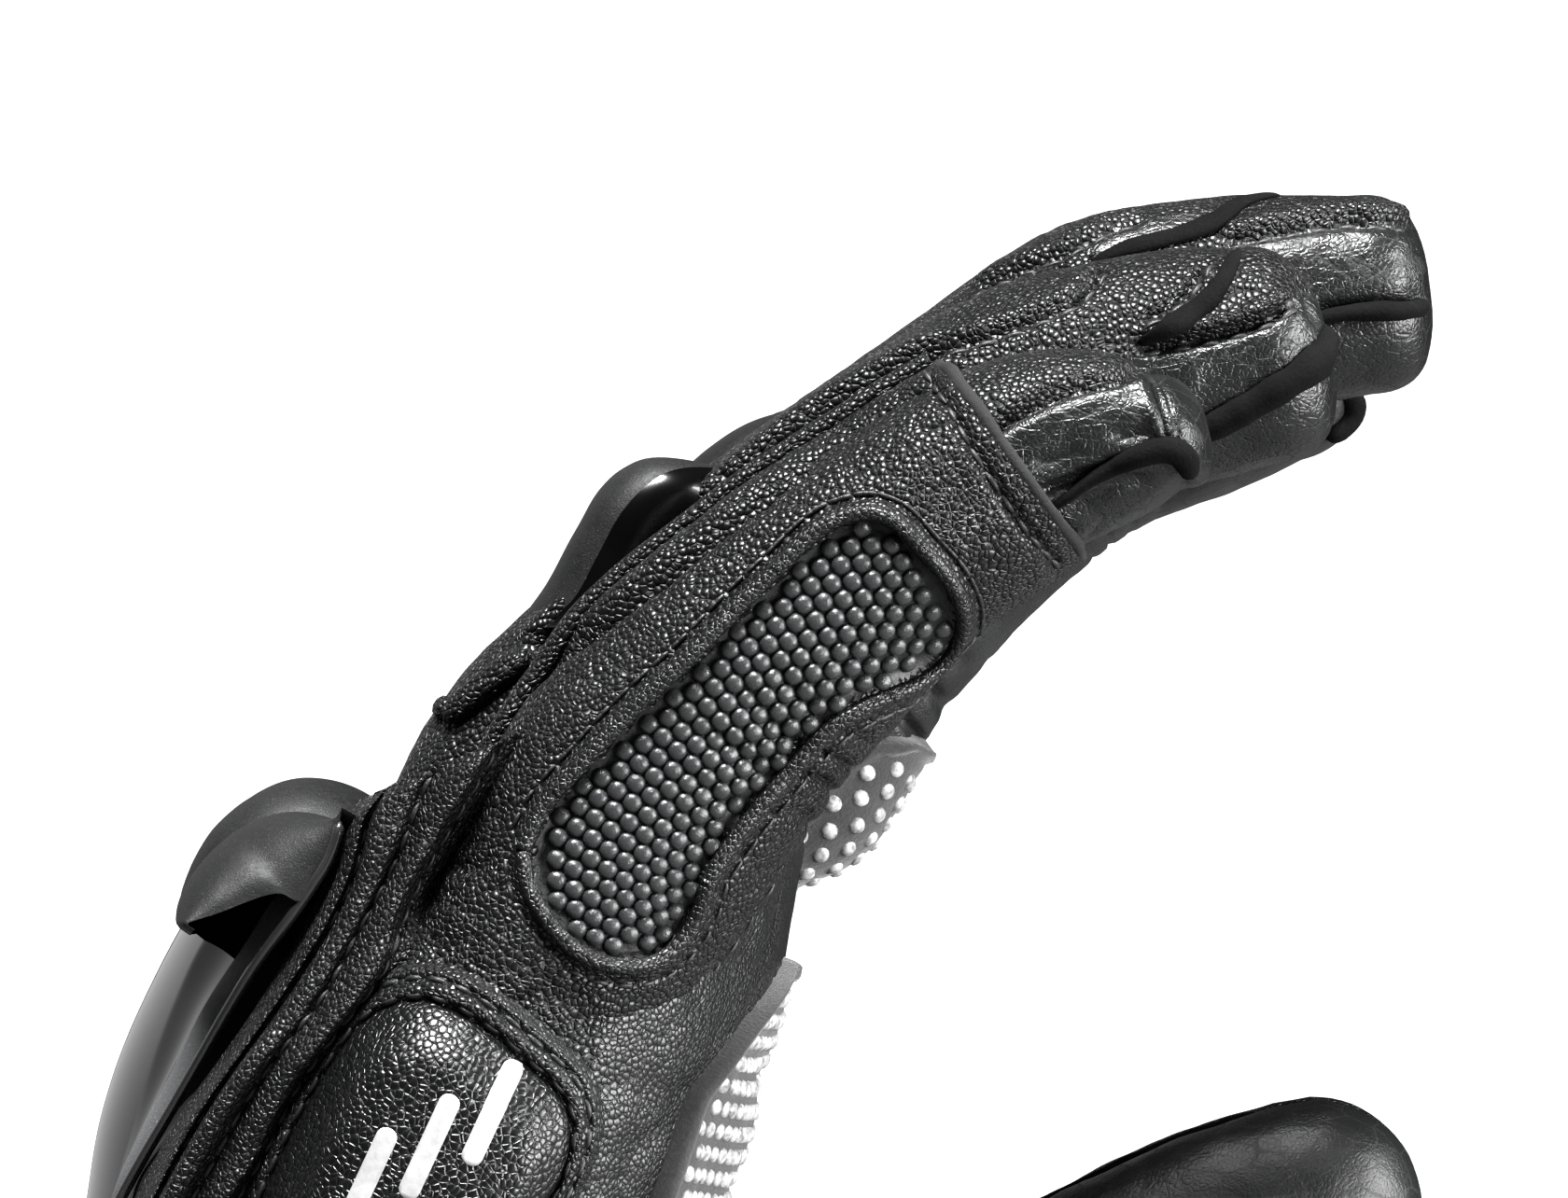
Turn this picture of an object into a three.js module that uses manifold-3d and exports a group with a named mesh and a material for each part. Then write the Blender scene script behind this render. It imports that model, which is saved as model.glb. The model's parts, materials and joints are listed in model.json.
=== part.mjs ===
// Right-hand motorcycle riding glove, standing on its cuff.
// Millimetres, +Z up. +X is the way the palm faces, +Y is the thumb side and -Y the
// little-finger side. The lofts are drawn round the cuff mouth's centre; at the end the
// group is moved so that the origin is the middle of the footprint on the floor.
// Every leather panel is a thin closed shell lofted round the hand. Panels of one body
// keep a small gap to each other, and each flexing joint has an open wedge.
import * as THREE from "three";
import { mergeVertices } from "three/addons/utils/BufferGeometryUtils.js";
import Module from "manifold-3d";

const wasm = await Module();
wasm.setup();

// ---------------------------------------------------------------- dimensions
const LEATHER = 1.6; // leather with its bonded backing
const SLEEVE_WALL = LEATHER + 0.6; // wall of the finger and thumb sleeves
const LINING = 1.0;
const GAP = 0.35; // clearance between neighbouring pieces
const SEAM_HALF = 0.2; // distance of a back or palm panel from the seam between them
const JOINT_GAP = 0.45; // distance of a piece from its hinge axis
const RIM_Z = 3.2; // height of the cuff's bound edge
const PALM_ANGLE = 74.8; // slope of the back of the hand above the horizon

const FINGER_SIDES = 16; // facets round a finger
const HAND_SIDES = 32;
const HAND_LINING_SIDES = 24;
const CUFF_SIDES = 28;

// Bends are [flex, extend] in degrees. Each side of a joint is cut back by half the bend.
const WRIST_BEND = [30, 25];
const MCP_FLEX = 35;
const MCP_EXTEND = 6;
const MCP_SHARE = 0.2; // part of the knuckle's wedge cut from the hand, not the finger
const HAND_BEND = [2 * MCP_FLEX * MCP_SHARE, MCP_EXTEND];
const PIP_BEND = [45, 12];
const DIP_RATIO = 0.6; // end joint's bend against the middle joint's
const FINGER_BENDS = [
  [2 * MCP_FLEX * (1 - MCP_SHARE), MCP_EXTEND],
  PIP_BEND,
  PIP_BEND.map((angle) => angle * DIP_RATIO),
];
const THUMB_MCP_BEND = [22, 16];
const THUMB_IP_BEND = [35, 12];

// Each finger: base joint, splay and bone slopes in degrees, bone lengths, half widths and
// half thicknesses at base, middle joint, end joint and tip, and the range of Y that its
// knuckle wedge takes from the hand.
const FINGERS = {
  pinky: {
    base: [28.0, -32.5, 175.0], splay: -3.0, slope: [59.0, 45.0, 15.0],
    length: [29.0, 22.3, 23.4],
    wide: [10.2, 9.7, 8.8, 8.2], thick: [13.0, 11.4, 9.9, 8.1], lane: [-90, -21.9],
  },
  ring: {
    base: [22.8, -11.2, 175.0], splay: -1.0, slope: [53.2, 37.6, 12.3],
    length: [40.7, 26.9, 27.1],
    wide: [10.2, 9.8, 9.0, 8.4], thick: [14.2, 11.8, 9.9, 8.8], lane: [-21.9, -0.5],
  },
  middle: {
    base: [21.5, 10.4, 177.0], splay: 0.6, slope: [49.2, 37.3, 7.1],
    length: [48.2, 28.9, 28.2],
    wide: [10.2, 9.9, 9.1, 8.5], thick: [14.4, 11.9, 10.0, 7.9], lane: [-0.5, 21.3],
  },
  index: {
    base: [23.5, 32.0, 174.5], splay: 2.6, slope: [49.5, 37, 12],
    length: [41.7, 27, 26.5],
    wide: [10.1, 9.8, 9.0, 8.4], thick: [14.0, 11.6, 9.5, 7.4], lane: [21.3, 90],
  },
};
// Thumb: joints from root to tip, with half widths and half thicknesses at each.
const THUMB = {
  joints: [[9, 24, 104], [40, 41, 127], [67, 46, 141], [101.5, 48, 161]],
  wide: [19, 13.6, 11.6, 10.4],
  thick: [16.5, 13.2, 11.2, 9.6],
};
// Hand, from wrist to knuckles: centre x, centre z, half width, half thickness.
const HAND = [
  [-1.5, 82, 33.5, 25.0], [0.8, 92, 34.0, 24.6],
  [4.2, 104, 37.0, 24.0], [9.5, 120, 42.0, 23.4],
  [14.5, 136, 45.0, 22.8], [19.0, 150, 46.0, 22.2],
  [22.8, 163, 45.5, 21.2], [25.4, 173, 44.6, 19.6],
  [28.2, 184, 43.4, 17.6], [30.0, 191, 42.6, 16.4],
];
// Cuff, from the floor up: same columns.
const CUFF = [
  [-2.0, 0, 47.5, 38.5], [-1.6, 22, 44.5, 35.5],
  [-1.0, 45, 40.0, 31.0], [-0.4, 66, 35.5, 27.0],
  [0.0, 84, 33.6, 25.2], [0.6, 95, 33.8, 25.0],
];

// ---------------------------------------------------------------- vectors and frame
const radians = THREE.MathUtils.degToRad;
const clamp = THREE.MathUtils.clamp;
const mix = (start, end, t) => start + (end - start) * t;
const vector = (xyz) => new THREE.Vector3(...xyz);
const reversed = (v) => v.clone().negate();
const midway = (v, w) => v.clone().add(w).normalize();
const signedPower = (value, power) => Math.sign(value) * Math.pow(Math.abs(value), power);

const ORIGIN = vector([0, 0, 0]);
const TO_PALM = vector([1, 0, 0]);
const TO_THUMB = vector([0, 1, 0]);
const UP = vector([0, 0, 1]);
const slopeAngle = radians(PALM_ANGLE);
const handAlong = vector([Math.cos(slopeAngle), 0, Math.sin(slopeAngle)]); // to the fingers
const dorsal = vector([-handAlong.z, 0, handAlong.x]); // out of the back of the hand
const HAND_CENTRE = vector([21.5, 0, 170]); // origin of the guard's and pads' outlines

// ---------------------------------------------------------------- solids
// Closed solid from vertices and triangles, turned outside out when it comes out inverted.
function toSolid(position, index) {
  const geometry = new THREE.BufferGeometry();
  geometry.setAttribute("position", position);
  if (index) geometry.setIndex(index);
  const merged = mergeVertices(geometry, 1e-4);
  const vertProperties = merged.attributes.position.array;
  const triVerts = new Uint32Array(merged.index.array);
  const build = () => new wasm.Manifold(new wasm.Mesh({ numProp: 3, vertProperties, triVerts }));
  const solid = build();
  if (solid.volume() >= 0) return solid;
  for (let i = 0; i < triVerts.length; i += 3) {
    [triVerts[i + 1], triVerts[i + 2]] = [triVerts[i + 2], triVerts[i + 1]];
  }
  return build();
}

// A ring is a superellipse across a loft; `power` is its exponent.
function makeRing(centre, lateral, normal, halfWide, halfThick, power) {
  return { centre, lateral, normal, halfWide, halfThick, power };
}

function ringPoints(ring, offset, count) {
  const points = [];
  for (let i = 0; i < count; i++) {
    const angle = (2 * Math.PI * (i + 0.5)) / count;
    const x = signedPower(Math.cos(angle), 2 / ring.power) * Math.max(0.3, ring.halfWide + offset);
    const y = signedPower(Math.sin(angle), 2 / ring.power) * Math.max(0.3, ring.halfThick + offset);
    const point = ring.centre.clone();
    point.addScaledVector(ring.lateral, x).addScaledVector(ring.normal, y);
    points.push(...point.toArray());
  }
  return points;
}

// Solid through rings, all grown by `offset`.
function loft(rings, offset = 0, count = FINGER_SIDES) {
  const positions = rings.flatMap((ring) => ringPoints(ring, offset, count));
  const startCentre = positions.length / 3;
  const endCentre = startCentre + 1;
  positions.push(...rings[0].centre.toArray(), ...rings.at(-1).centre.toArray());
  const indices = [];
  for (let j = 0; j + 1 < rings.length; j++) {
    for (let i = 0; i < count; i++) {
      const here = j * count + i;
      const next = j * count + ((i + 1) % count);
      indices.push(here, next, next + count, here, next + count, here + count);
    }
  }
  const lastRing = (rings.length - 1) * count;
  for (let i = 0; i < count; i++) {
    const next = (i + 1) % count;
    indices.push(startCentre, next, i, endCentre, lastRing + i, lastRing + next);
  }
  return toSolid(new THREE.Float32BufferAttribute(positions, 3), indices);
}

// Layer between two offsets of one loft, closed at its ends where the lofts end together.
function layer(rings, outer, inner, count) {
  return loft(rings, outer, count).subtract(loft(rings, inner, count));
}

// Open tube between two offsets; the inner loft runs 1 mm past both ends.
function tube(rings, outer, inner, count) {
  const pushOut = (ring, neighbour) => {
    const outward = ring.centre.clone().sub(neighbour.centre).normalize();
    return { ...ring, centre: ring.centre.clone().add(outward) };
  };
  const first = pushOut(rings[0], rings[1]);
  const last = pushOut(rings.at(-1), rings.at(-2));
  const core = [first, ...rings.slice(1, -1), last];
  return loft(rings, outer, count).subtract(loft(core, inner, count));
}

// Prism whose polygon lies in the (u, v) plane at `origin`; it runs from..to along u x v.
function prism(polygon, origin, u, v, [from, to]) {
  const shape = new THREE.Shape(polygon.map(([x, y]) => new THREE.Vector2(x, y)));
  const options = { depth: to - from, bevelEnabled: false, steps: 1 };
  const geometry = new THREE.ExtrudeGeometry(shape, options);
  geometry.translate(0, 0, from);
  const basis = new THREE.Matrix4().makeBasis(u, v, u.clone().cross(v));
  geometry.applyMatrix4(basis.setPosition(origin));
  return toSolid(geometry.attributes.position);
}

// Superellipse polygon for prism(); centre, half sizes and corner powers are [u, v] pairs.
function roundedOutline(count, centre, halfSize, power) {
  return Array.from({ length: count }, (_, i) => {
    const angle = (2 * Math.PI * i) / count;
    return [
      centre[0] + signedPower(Math.cos(angle), power[0]) * halfSize[0],
      centre[1] + signedPower(Math.sin(angle), power[1]) * halfSize[1],
    ];
  });
}

// Keeps what lies further than `distance` from `origin` along `normal`.
function keepSide(solid, origin, normal, distance = 0) {
  const unit = normal.clone().normalize();
  return solid.trimByPlane(unit.toArray(), unit.dot(origin) + distance);
}
const keepAbove = (solid, z) => keepSide(solid, ORIGIN, UP, z);
const keepBelow = (solid, z) => keepSide(solid, ORIGIN, reversed(UP), -z);

// ---------------------------------------------------------------- hinges
const CUT_DEPTH = 45; // how far the wedges reach to either side of the axis
const CUT_LENGTH = 130; // how far they reach along the limb

// `along` runs up the limb; `span` is the wedge's range along the hinge axis.
function makeHinge(origin, along, lateral, [flex, extend], span = [-60, 60]) {
  return { origin, along, normal: along.clone().cross(lateral), flex, extend, span };
}

// Cutter on one side of a joint: direction +1 is beyond it, -1 before it. Its slanted faces
// lean back from the joint, by half of flex on the palm side and half of extend behind.
function hingeCutter({ origin, along, normal, flex, extend, span }, direction, gap) {
  const flexLean = Math.tan(radians(flex / 2)) * CUT_DEPTH;
  const extendLean = Math.tan(radians(extend / 2)) * CUT_DEPTH;
  const polygon = [
    [-gap, 0],
    [-gap - flexLean, -CUT_DEPTH],
    [CUT_LENGTH, -CUT_DEPTH],
    [CUT_LENGTH, CUT_DEPTH],
    [-gap - extendLean, CUT_DEPTH],
  ].map(([u, v]) => [u * direction, v]);
  return prism(polygon, origin, along, normal, span);
}
const trimBeyond = (solid, hinge, gap = JOINT_GAP) => solid.subtract(hingeCutter(hinge, 1, gap));
const trimBefore = (solid, hinge, gap = JOINT_GAP) => solid.subtract(hingeCutter(hinge, -1, gap));

// Trims a piece at both joints of the bone it sits on.
function trimToBone(solid, limb, bone, gap) {
  return trimBeyond(trimBefore(solid, limb.hinges[bone], gap), limb.hinges[bone + 1], gap);
}

// ---------------------------------------------------------------- meshes
const PAINT = {
  leather: { color: 0x1b1b1d, roughness: 0.55 },
  smooth_leather: { color: 0x2a2a2c, roughness: 0.42 },
  lining: { color: 0x161616, roughness: 0.9 },
  gloss: { color: 0x050506, roughness: 0.12 },
  rubber: { color: 0x2d2d2f, roughness: 0.75 },
  bead: { color: 0x303033, roughness: 0.35 },
  foam: { color: 0x3a3a3a, roughness: 0.9 },
  grip: { color: 0xb9b9b6, roughness: 0.6 },
  hook: { color: 0x101010, roughness: 0.95 },
};
const glove = new THREE.Group();
glove.name = "glove";
const bodies = {};

function getBody(name) {
  if (!bodies[name]) {
    bodies[name] = new THREE.Group();
    bodies[name].name = name;
    glove.add(bodies[name]);
  }
  return bodies[name];
}

// Adds the largest connected part of a solid to a body; trimming can leave loose scraps.
function add(body, name, solid, paint) {
  const [largest] = solid.decompose().sort((one, other) => other.volume() - one.volume());
  const { vertProperties, triVerts } = largest.getMesh();
  const geometry = new THREE.BufferGeometry();
  geometry.setAttribute("position", new THREE.BufferAttribute(vertProperties, 3));
  geometry.setIndex(new THREE.BufferAttribute(triVerts, 1));
  const material = new THREE.MeshStandardMaterial({ ...PAINT[paint], metalness: 0 });
  const mesh = new THREE.Mesh(geometry, material);
  mesh.name = name;
  getBody(body).add(mesh);
}

// Splits a shell by a plane into a back and a palm panel; `shift` moves the seam backwards.
function addBackAndPalm(body, prefix, suffix, shell, origin, normal, shift = 0) {
  const back = keepSide(shell, origin, normal, shift + SEAM_HALF);
  const palm = keepSide(shell, origin, reversed(normal), -shift + SEAM_HALF);
  add(body, prefix + "_back" + suffix, back, "leather");
  add(body, prefix + "_palm" + suffix, palm, "smooth_leather");
}

// ---------------------------------------------------------------- limbs
// A limb is a finger or the thumb. Hinge k is at joint k, where bone k starts.
function makeFinger({ base, splay, slope, length, wide, thick }) {
  const cos = Math.cos(radians(splay));
  const sin = Math.sin(radians(splay));
  const lateral = TO_THUMB.clone().multiplyScalar(cos).addScaledVector(handAlong, -sin);
  const straight = handAlong.clone().multiplyScalar(cos).addScaledVector(TO_THUMB, sin);
  const directions = slope.map((angle) => {
    const curl = radians(PALM_ANGLE - angle);
    const direction = straight.clone().multiplyScalar(Math.cos(curl));
    return direction.addScaledVector(dorsal, -Math.sin(curl));
  });
  const joints = [vector(base)];
  directions.forEach((direction, i) => {
    joints.push(joints[i].clone().addScaledVector(direction, length[i]));
  });
  const hinges = FINGER_BENDS.map((bend, i) => {
    const along = midway(i === 0 ? handAlong : directions[i - 1], directions[i]);
    return makeHinge(joints[i], along, lateral, bend);
  });
  const laterals = directions.map(() => lateral);
  const normals = directions.map((direction) => direction.clone().cross(lateral));
  return { joints, directions, laterals, normals, hinges, wide, thick, power: 2.5 };
}

function makeThumb({ joints: points, wide, thick }) {
  const joints = points.map(vector);
  const directions = [0, 1, 2].map((i) => joints[i + 1].clone().sub(joints[i]).normalize());
  const level = vector([directions[1].z, 0, -directions[1].x]).normalize();
  const normals = directions.map((direction) => direction.clone().cross(level).normalize());
  const laterals = normals.map((normal, i) => normal.clone().cross(directions[i]).normalize());
  const hingeAt = (i, bend) =>
    makeHinge(joints[i], midway(directions[i - 1], directions[i]), laterals[1], bend);
  const hinges = [null, hingeAt(1, THUMB_MCP_BEND), hingeAt(2, THUMB_IP_BEND)];
  return { joints, directions, laterals, normals, hinges, wide, thick, power: 2.35 };
}

// Ring on a bone; t is 0 at its near joint and 1 at its far one.
function limbRing(limb, bone, t) {
  const { joints, directions, laterals, normals, wide, thick, power } = limb;
  const distance = joints[bone].distanceTo(joints[bone + 1]) * t;
  const centre = joints[bone].clone().addScaledVector(directions[bone], distance);
  const halfWide = mix(wide[bone], wide[bone + 1], t);
  const halfThick = mix(thick[bone], thick[bone + 1], t);
  return makeRing(centre, laterals[bone], normals[bone], halfWide, halfThick, power);
}
const limbLoft = (limb, bone, from, to, offset) =>
  loft([limbRing(limb, bone, from), limbRing(limb, bone, to)], offset);
const limbSleeve = (limb, bone, from, to) =>
  tube([limbRing(limb, bone, from), limbRing(limb, bone, to)], 0, -SLEEVE_WALL, FINGER_SIDES);

// Hollow rounded end of a limb: straight between two stations on the last bone, then
// closing through `rounding`, rows of [t, half width, half thickness].
function limbTip(limb, from, to, rounding) {
  const rings = [limbRing(limb, 2, from), limbRing(limb, 2, to)];
  for (const [t, halfWide, halfThick] of rounding) {
    rings.push({ ...limbRing(limb, 2, t), halfWide, halfThick });
  }
  const coreShift = [-1, 0, -SLEEVE_WALL, -SLEEVE_WALL, -SLEEVE_WALL];
  const core = rings.map((ring, i) => ({
    ...ring,
    centre: ring.centre.clone().addScaledVector(limb.directions[2], coreShift[i]),
    halfWide: Math.max(0.6, ring.halfWide - SLEEVE_WALL),
    halfThick: Math.max(0.6, ring.halfThick - SLEEVE_WALL),
  }));
  return trimBefore(loft(rings).subtract(loft(core)), limb.hinges[2]);
}

// ---------------------------------------------------------------- fingers
// Rounding of a fingertip: t, then parts of the tip's half width and half thickness.
const FINGERTIP = [[0.86, 0.93, 0.95], [0.95, 0.78, 0.8], [1.0, 0.5, 0.5]];
const TIP_SEAM_SHIFT = 0.18; // part of the tip's half thickness

const fingers = {};
for (const [name, size] of Object.entries(FINGERS)) fingers[name] = makeFinger(size);

function addFinger(name, finger) {
  const { joints, normals, wide, thick } = finger;
  const proximal = trimToBone(limbSleeve(finger, 0, -0.28, 1.16), finger, 0);
  addBackAndPalm(name + "_proximal", name + "_proximal", "", proximal, joints[0], normals[0]);
  const middle = trimToBone(limbSleeve(finger, 1, -0.3, 1.2), finger, 1);
  add(name + "_middle", name + "_middle_sleeve", middle, "leather");
  const rounding = FINGERTIP.map(([t, w, h]) => [t, wide[3] * w, thick[3] * h]);
  const tip = limbTip(finger, -0.3, 0.72, rounding);
  const shift = thick[3] * TIP_SEAM_SHIFT;
  addBackAndPalm(name + "_distal", name + "_tip", "", tip, joints[2], normals[2], shift);
}

// Low hard cap on the back of the proximal bone, just before the middle joint.
// Columns: t along the bone, lift off the leather.
const SLIDER = [[0.52, 0.6], [0.6, 2.9], [0.72, 3.6], [0.84, 2.8], [0.93, 0.6]];
const SLIDER_FLARE = 0.35; // sideways growth against lift
function addSlider(name, finger) {
  const rings = SLIDER.map(([t, lift]) => {
    const ring = limbRing(finger, 0, t);
    ring.halfWide += lift * SLIDER_FLARE;
    ring.halfThick += lift;
    return ring;
  });
  const slider = loft(rings).subtract(limbLoft(finger, 0, 0.3, 1.05, GAP));
  const top = keepSide(slider, finger.joints[0], finger.normals[0], 6.2);
  add(name + "_proximal", name + "_knuckle_slider", top, "rubber");
}

// Panel over the little finger's outer face with a studded pad on it. Both bend with the
// middle joint, so each is in two pieces.
const SIDE_PANEL = 1.5;
const STUD_PAD = 1.6;
function addPinkySide(pinky) {
  const outward = reversed(pinky.laterals[0]);
  const sideLayer = (bone, from, to, inner, thickness) =>
    limbLoft(pinky, bone, from, to, inner + thickness)
      .subtract(limbLoft(pinky, bone, from - 0.1, to + 0.1, inner));
  const sidePanel = (bone, from, to) => {
    const wrap = sideLayer(bone, from, to, GAP, SIDE_PANEL);
    return trimToBone(keepSide(wrap, pinky.joints[bone], outward, 4.2), pinky, bone);
  };
  const studPad = (bone, from, to, centre, halfSize) => {
    const outline = roundedOutline(24, centre, halfSize, [0.6, 0.7]);
    const { joints, directions, normals } = pinky;
    const cutter = prism(outline, joints[bone], directions[bone], normals[bone], [2, 40]);
    const wrap = sideLayer(bone, from, to, 2 * GAP + SIDE_PANEL, STUD_PAD);
    return trimBefore(wrap.intersect(cutter), pinky.hinges[bone]);
  };
  add("pinky_proximal", "pinky_side_panel", sidePanel(0, -0.05, 1.16), "leather");
  add("pinky_middle", "pinky_side_panel_end", sidePanel(1, -0.3, 0.98), "leather");
  const pad = trimBeyond(studPad(0, 0, 1.2, [24.5, -0.2], [17.5, 6.4]), pinky.hinges[1]);
  add("pinky_proximal", "pinky_stud_pad", pad, "bead");
  const padEnd = studPad(1, -0.3, 0.96, [1, 0], [17, 5.6]);
  add("pinky_middle", "pinky_stud_pad_end", padEnd, "bead");
}

// Strip on the palm face of the index finger.
function addGripStrip(index) {
  const wrap = limbLoft(index, 0, 0.3, 0.95, GAP + 1.4)
    .subtract(limbLoft(index, 0, 0.1, 1.1, GAP));
  const strip = keepSide(wrap, index.joints[0], reversed(index.normals[0]), 8.5);
  add("index_proximal", "index_grip_strip", trimToBone(strip, index, 0, 0.8), "grip");
}

// ---------------------------------------------------------------- hand
// The rings turn from level at the wrist to the slope of the hand, and grow squarer.
const handRings = HAND.map(([x, z, halfWide, halfThick]) => {
  const turn = clamp((z - 92) / 30, 0, 1);
  const normal = reversed(TO_PALM).lerp(dorsal, turn).normalize();
  const power = mix(2.15, 2.7, Math.min(1, (z - HAND[0][1]) / 60));
  return makeRing(vector([x, 0, z]), TO_THUMB, normal, halfWide, halfThick, power);
});
const wristAlong = vector([0.06, 0, 1]).normalize();
const wrist = makeHinge(vector([0, 0, 88]), wristAlong, TO_THUMB, WRIST_BEND, [-70, 70]);

// Knuckle hinges on the hand's side, each in its lane. They lie square to Y, and their
// span runs towards -Y from the finger's base.
const laneHinges = Object.entries(FINGERS).map(([name, { lane }]) => {
  const { origin, along } = fingers[name].hinges[0];
  const flatAlong = vector([along.x, 0, along.z]).normalize();
  const span = [origin.y - lane[1], origin.y - lane[0]];
  return makeHinge(origin, flatAlong, TO_THUMB, HAND_BEND, span);
});

// Trims a hand piece at the four knuckles and at the wrist.
function trimHand(solid) {
  const trimmed = laneHinges.reduce((rest, hinge) => trimBeyond(rest, hinge), solid);
  return trimBefore(trimmed, wrist);
}

function addHandShell(thumb) {
  const thumbHole = limbLoft(thumb, 0, 0.1, 1.15, -SLEEVE_WALL);
  const shell = trimHand(tube(handRings, 0, -LEATHER, HAND_SIDES)).subtract(thumbHole);
  addBackAndPalm("hand", "hand", "_panel", shell, HAND_CENTRE, dorsal);
  const outer = -LEATHER - GAP;
  const lining = trimHand(tube(handRings, outer, outer - LINING, HAND_LINING_SIDES));
  add("hand", "hand_lining", lining.subtract(thumbHole), "lining");
}

// Rounding of the thumb's tip: t, half width, half thickness.
const THUMB_TIP = [[0.86, 9.6, 8.9], [0.95, 7.8, 7.3], [1.0, 4.8, 4.6]];
function addThumb(thumb) {
  // the root sleeve is seated against the palm
  let root = limbSleeve(thumb, 0, 0, 1.2).subtract(loft(handRings, GAP, HAND_SIDES));
  root = trimBefore(trimBeyond(root, thumb.hinges[1]), wrist);
  add("hand", "thumb_root_sleeve", root, "leather");
  const proximal = trimToBone(limbSleeve(thumb, 1, -0.3, 1.25), thumb, 1);
  add("thumb_proximal", "thumb_proximal_sleeve", proximal, "leather");
  const tip = limbTip(thumb, -0.25, 0.7, THUMB_TIP);
  addBackAndPalm("thumb_distal", "thumb_tip", "", tip, thumb.joints[2], thumb.normals[2]);
}

// Outer layer on the palm, inside a rounded outline and clear of the thumb's root.
function addPalmPatch(thumb) {
  const outline = roundedOutline(32, [-27, 0], [31, 33], [0.75, 0.75]);
  const cutter = prism(outline, HAND_CENTRE, handAlong, TO_THUMB, [-60, -5]);
  const patch = trimHand(layer(handRings, GAP + 1.3, GAP, HAND_SIDES))
    .intersect(cutter)
    .subtract(limbLoft(thumb, 0, -0.2, 1.15, 2 * GAP));
  add("hand", "palm_grip_patch", patch, "grip");
}

// Padded side of the hand below the little finger: foam under a leather cover.
const ULNAR_FOAM = 1.6;
const ULNAR_COVER = 1.4;
function addUlnarPad() {
  const sideLayer = (outer, inner, scale) => {
    const outline = roundedOutline(32, [-20.5, 0], [26 * scale, 12.8 * scale], [0.7, 0.8]);
    const cutter = prism(outline, HAND_CENTRE, handAlong, dorsal, [-90, 90]);
    const pad = layer(handRings, outer, inner, HAND_SIDES).intersect(cutter);
    return keepSide(pad, HAND_CENTRE, reversed(TO_THUMB), 20);
  };
  const pocketTop = GAP * 2 + ULNAR_FOAM;
  add("hand", "ulnar_pad_foam", sideLayer(GAP + ULNAR_FOAM, GAP, 0.84), "foam");
  const cover = sideLayer(pocketTop + ULNAR_COVER, GAP, 1)
    .subtract(sideLayer(pocketTop, GAP - 1, 0.86));
  add("hand", "ulnar_pad_cover", cover, "smooth_leather");
}

// ---------------------------------------------------------------- knuckle guard
// Height field over the back of the knuckles. t runs along the hand from HAND_CENTRE,
// y across it, and the height is measured along the dorsal axis.
const GUARD_CENTRE_Y = -0.5;
const GUARD_HALF_WIDE = 43;
const GUARD_Y = [GUARD_CENTRE_Y - GUARD_HALF_WIDE, GUARD_CENTRE_Y + GUARD_HALF_WIDE];
const GUARD_BASE_TOP = 1.3;
const GUARD_SHELL_TOP = 3.1;
const KNUCKLE_PITCH = 21.6; // spacing of the crown's lobes
const LOBE_DEPTH = 0.15; // part of the crown lost between lobes
const CAP_HALF_WIDE = 9.6;
const CAP_LIMIT_Y = 37.5; // the outer caps stop here

// Height of the surface under the guard, falling to the fingers and to both sides.
function backSurface(y, t) {
  const forwardDrop = 0.0122 * Math.pow(Math.max(0, t + 5), 2);
  return 20.9 - forwardDrop - 4.5 * Math.pow(Math.abs((y - 2) / 45), 2.6);
}
// 0 on the guard's middle line, 1 at its sides
const guardSideways = (y) => Math.min(1, Math.abs((y - GUARD_CENTRE_Y) / GUARD_HALF_WIDE));

// t at the guard's wrist end and finger end
function guardEnds(y) {
  const q = guardSideways(y);
  return [-34 + 41 * Math.pow(q, 2.4), 8 + 11 * Math.pow(1 - Math.pow(q, 3.5), 0.8)];
}

// Crown of the shell over its rim. Columns: part of the way from wrist end to finger
// end, height.
const CROWN = [
  [0, 0], [0.1, 1.2], [0.25, 2.6], [0.4, 3.2], [0.55, 3.1], [0.66, 2.5],
  [0.74, 1.6], [0.84, 1.9], [0.92, 1.7], [0.97, 0.9], [1, 0],
];
function crownHeight(y, part) {
  let k = 0;
  while (k < CROWN.length - 2 && part > CROWN[k + 1][0]) k++;
  const [start, startHeight] = CROWN[k];
  const [end, endHeight] = CROWN[k + 1];
  const height = mix(startHeight, endHeight, (part - start) / (end - start));
  const across = Math.pow(1 - Math.pow(guardSideways(y), 3.2), 0.5);
  const phase = (2 * Math.PI * (y - FINGERS.middle.base[1])) / KNUCKLE_PITCH;
  const lobes = 0.5 + 0.5 * Math.cos(phase);
  return height * across * (1 - LOBE_DEPTH + LOBE_DEPTH * lobes);
}

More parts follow.
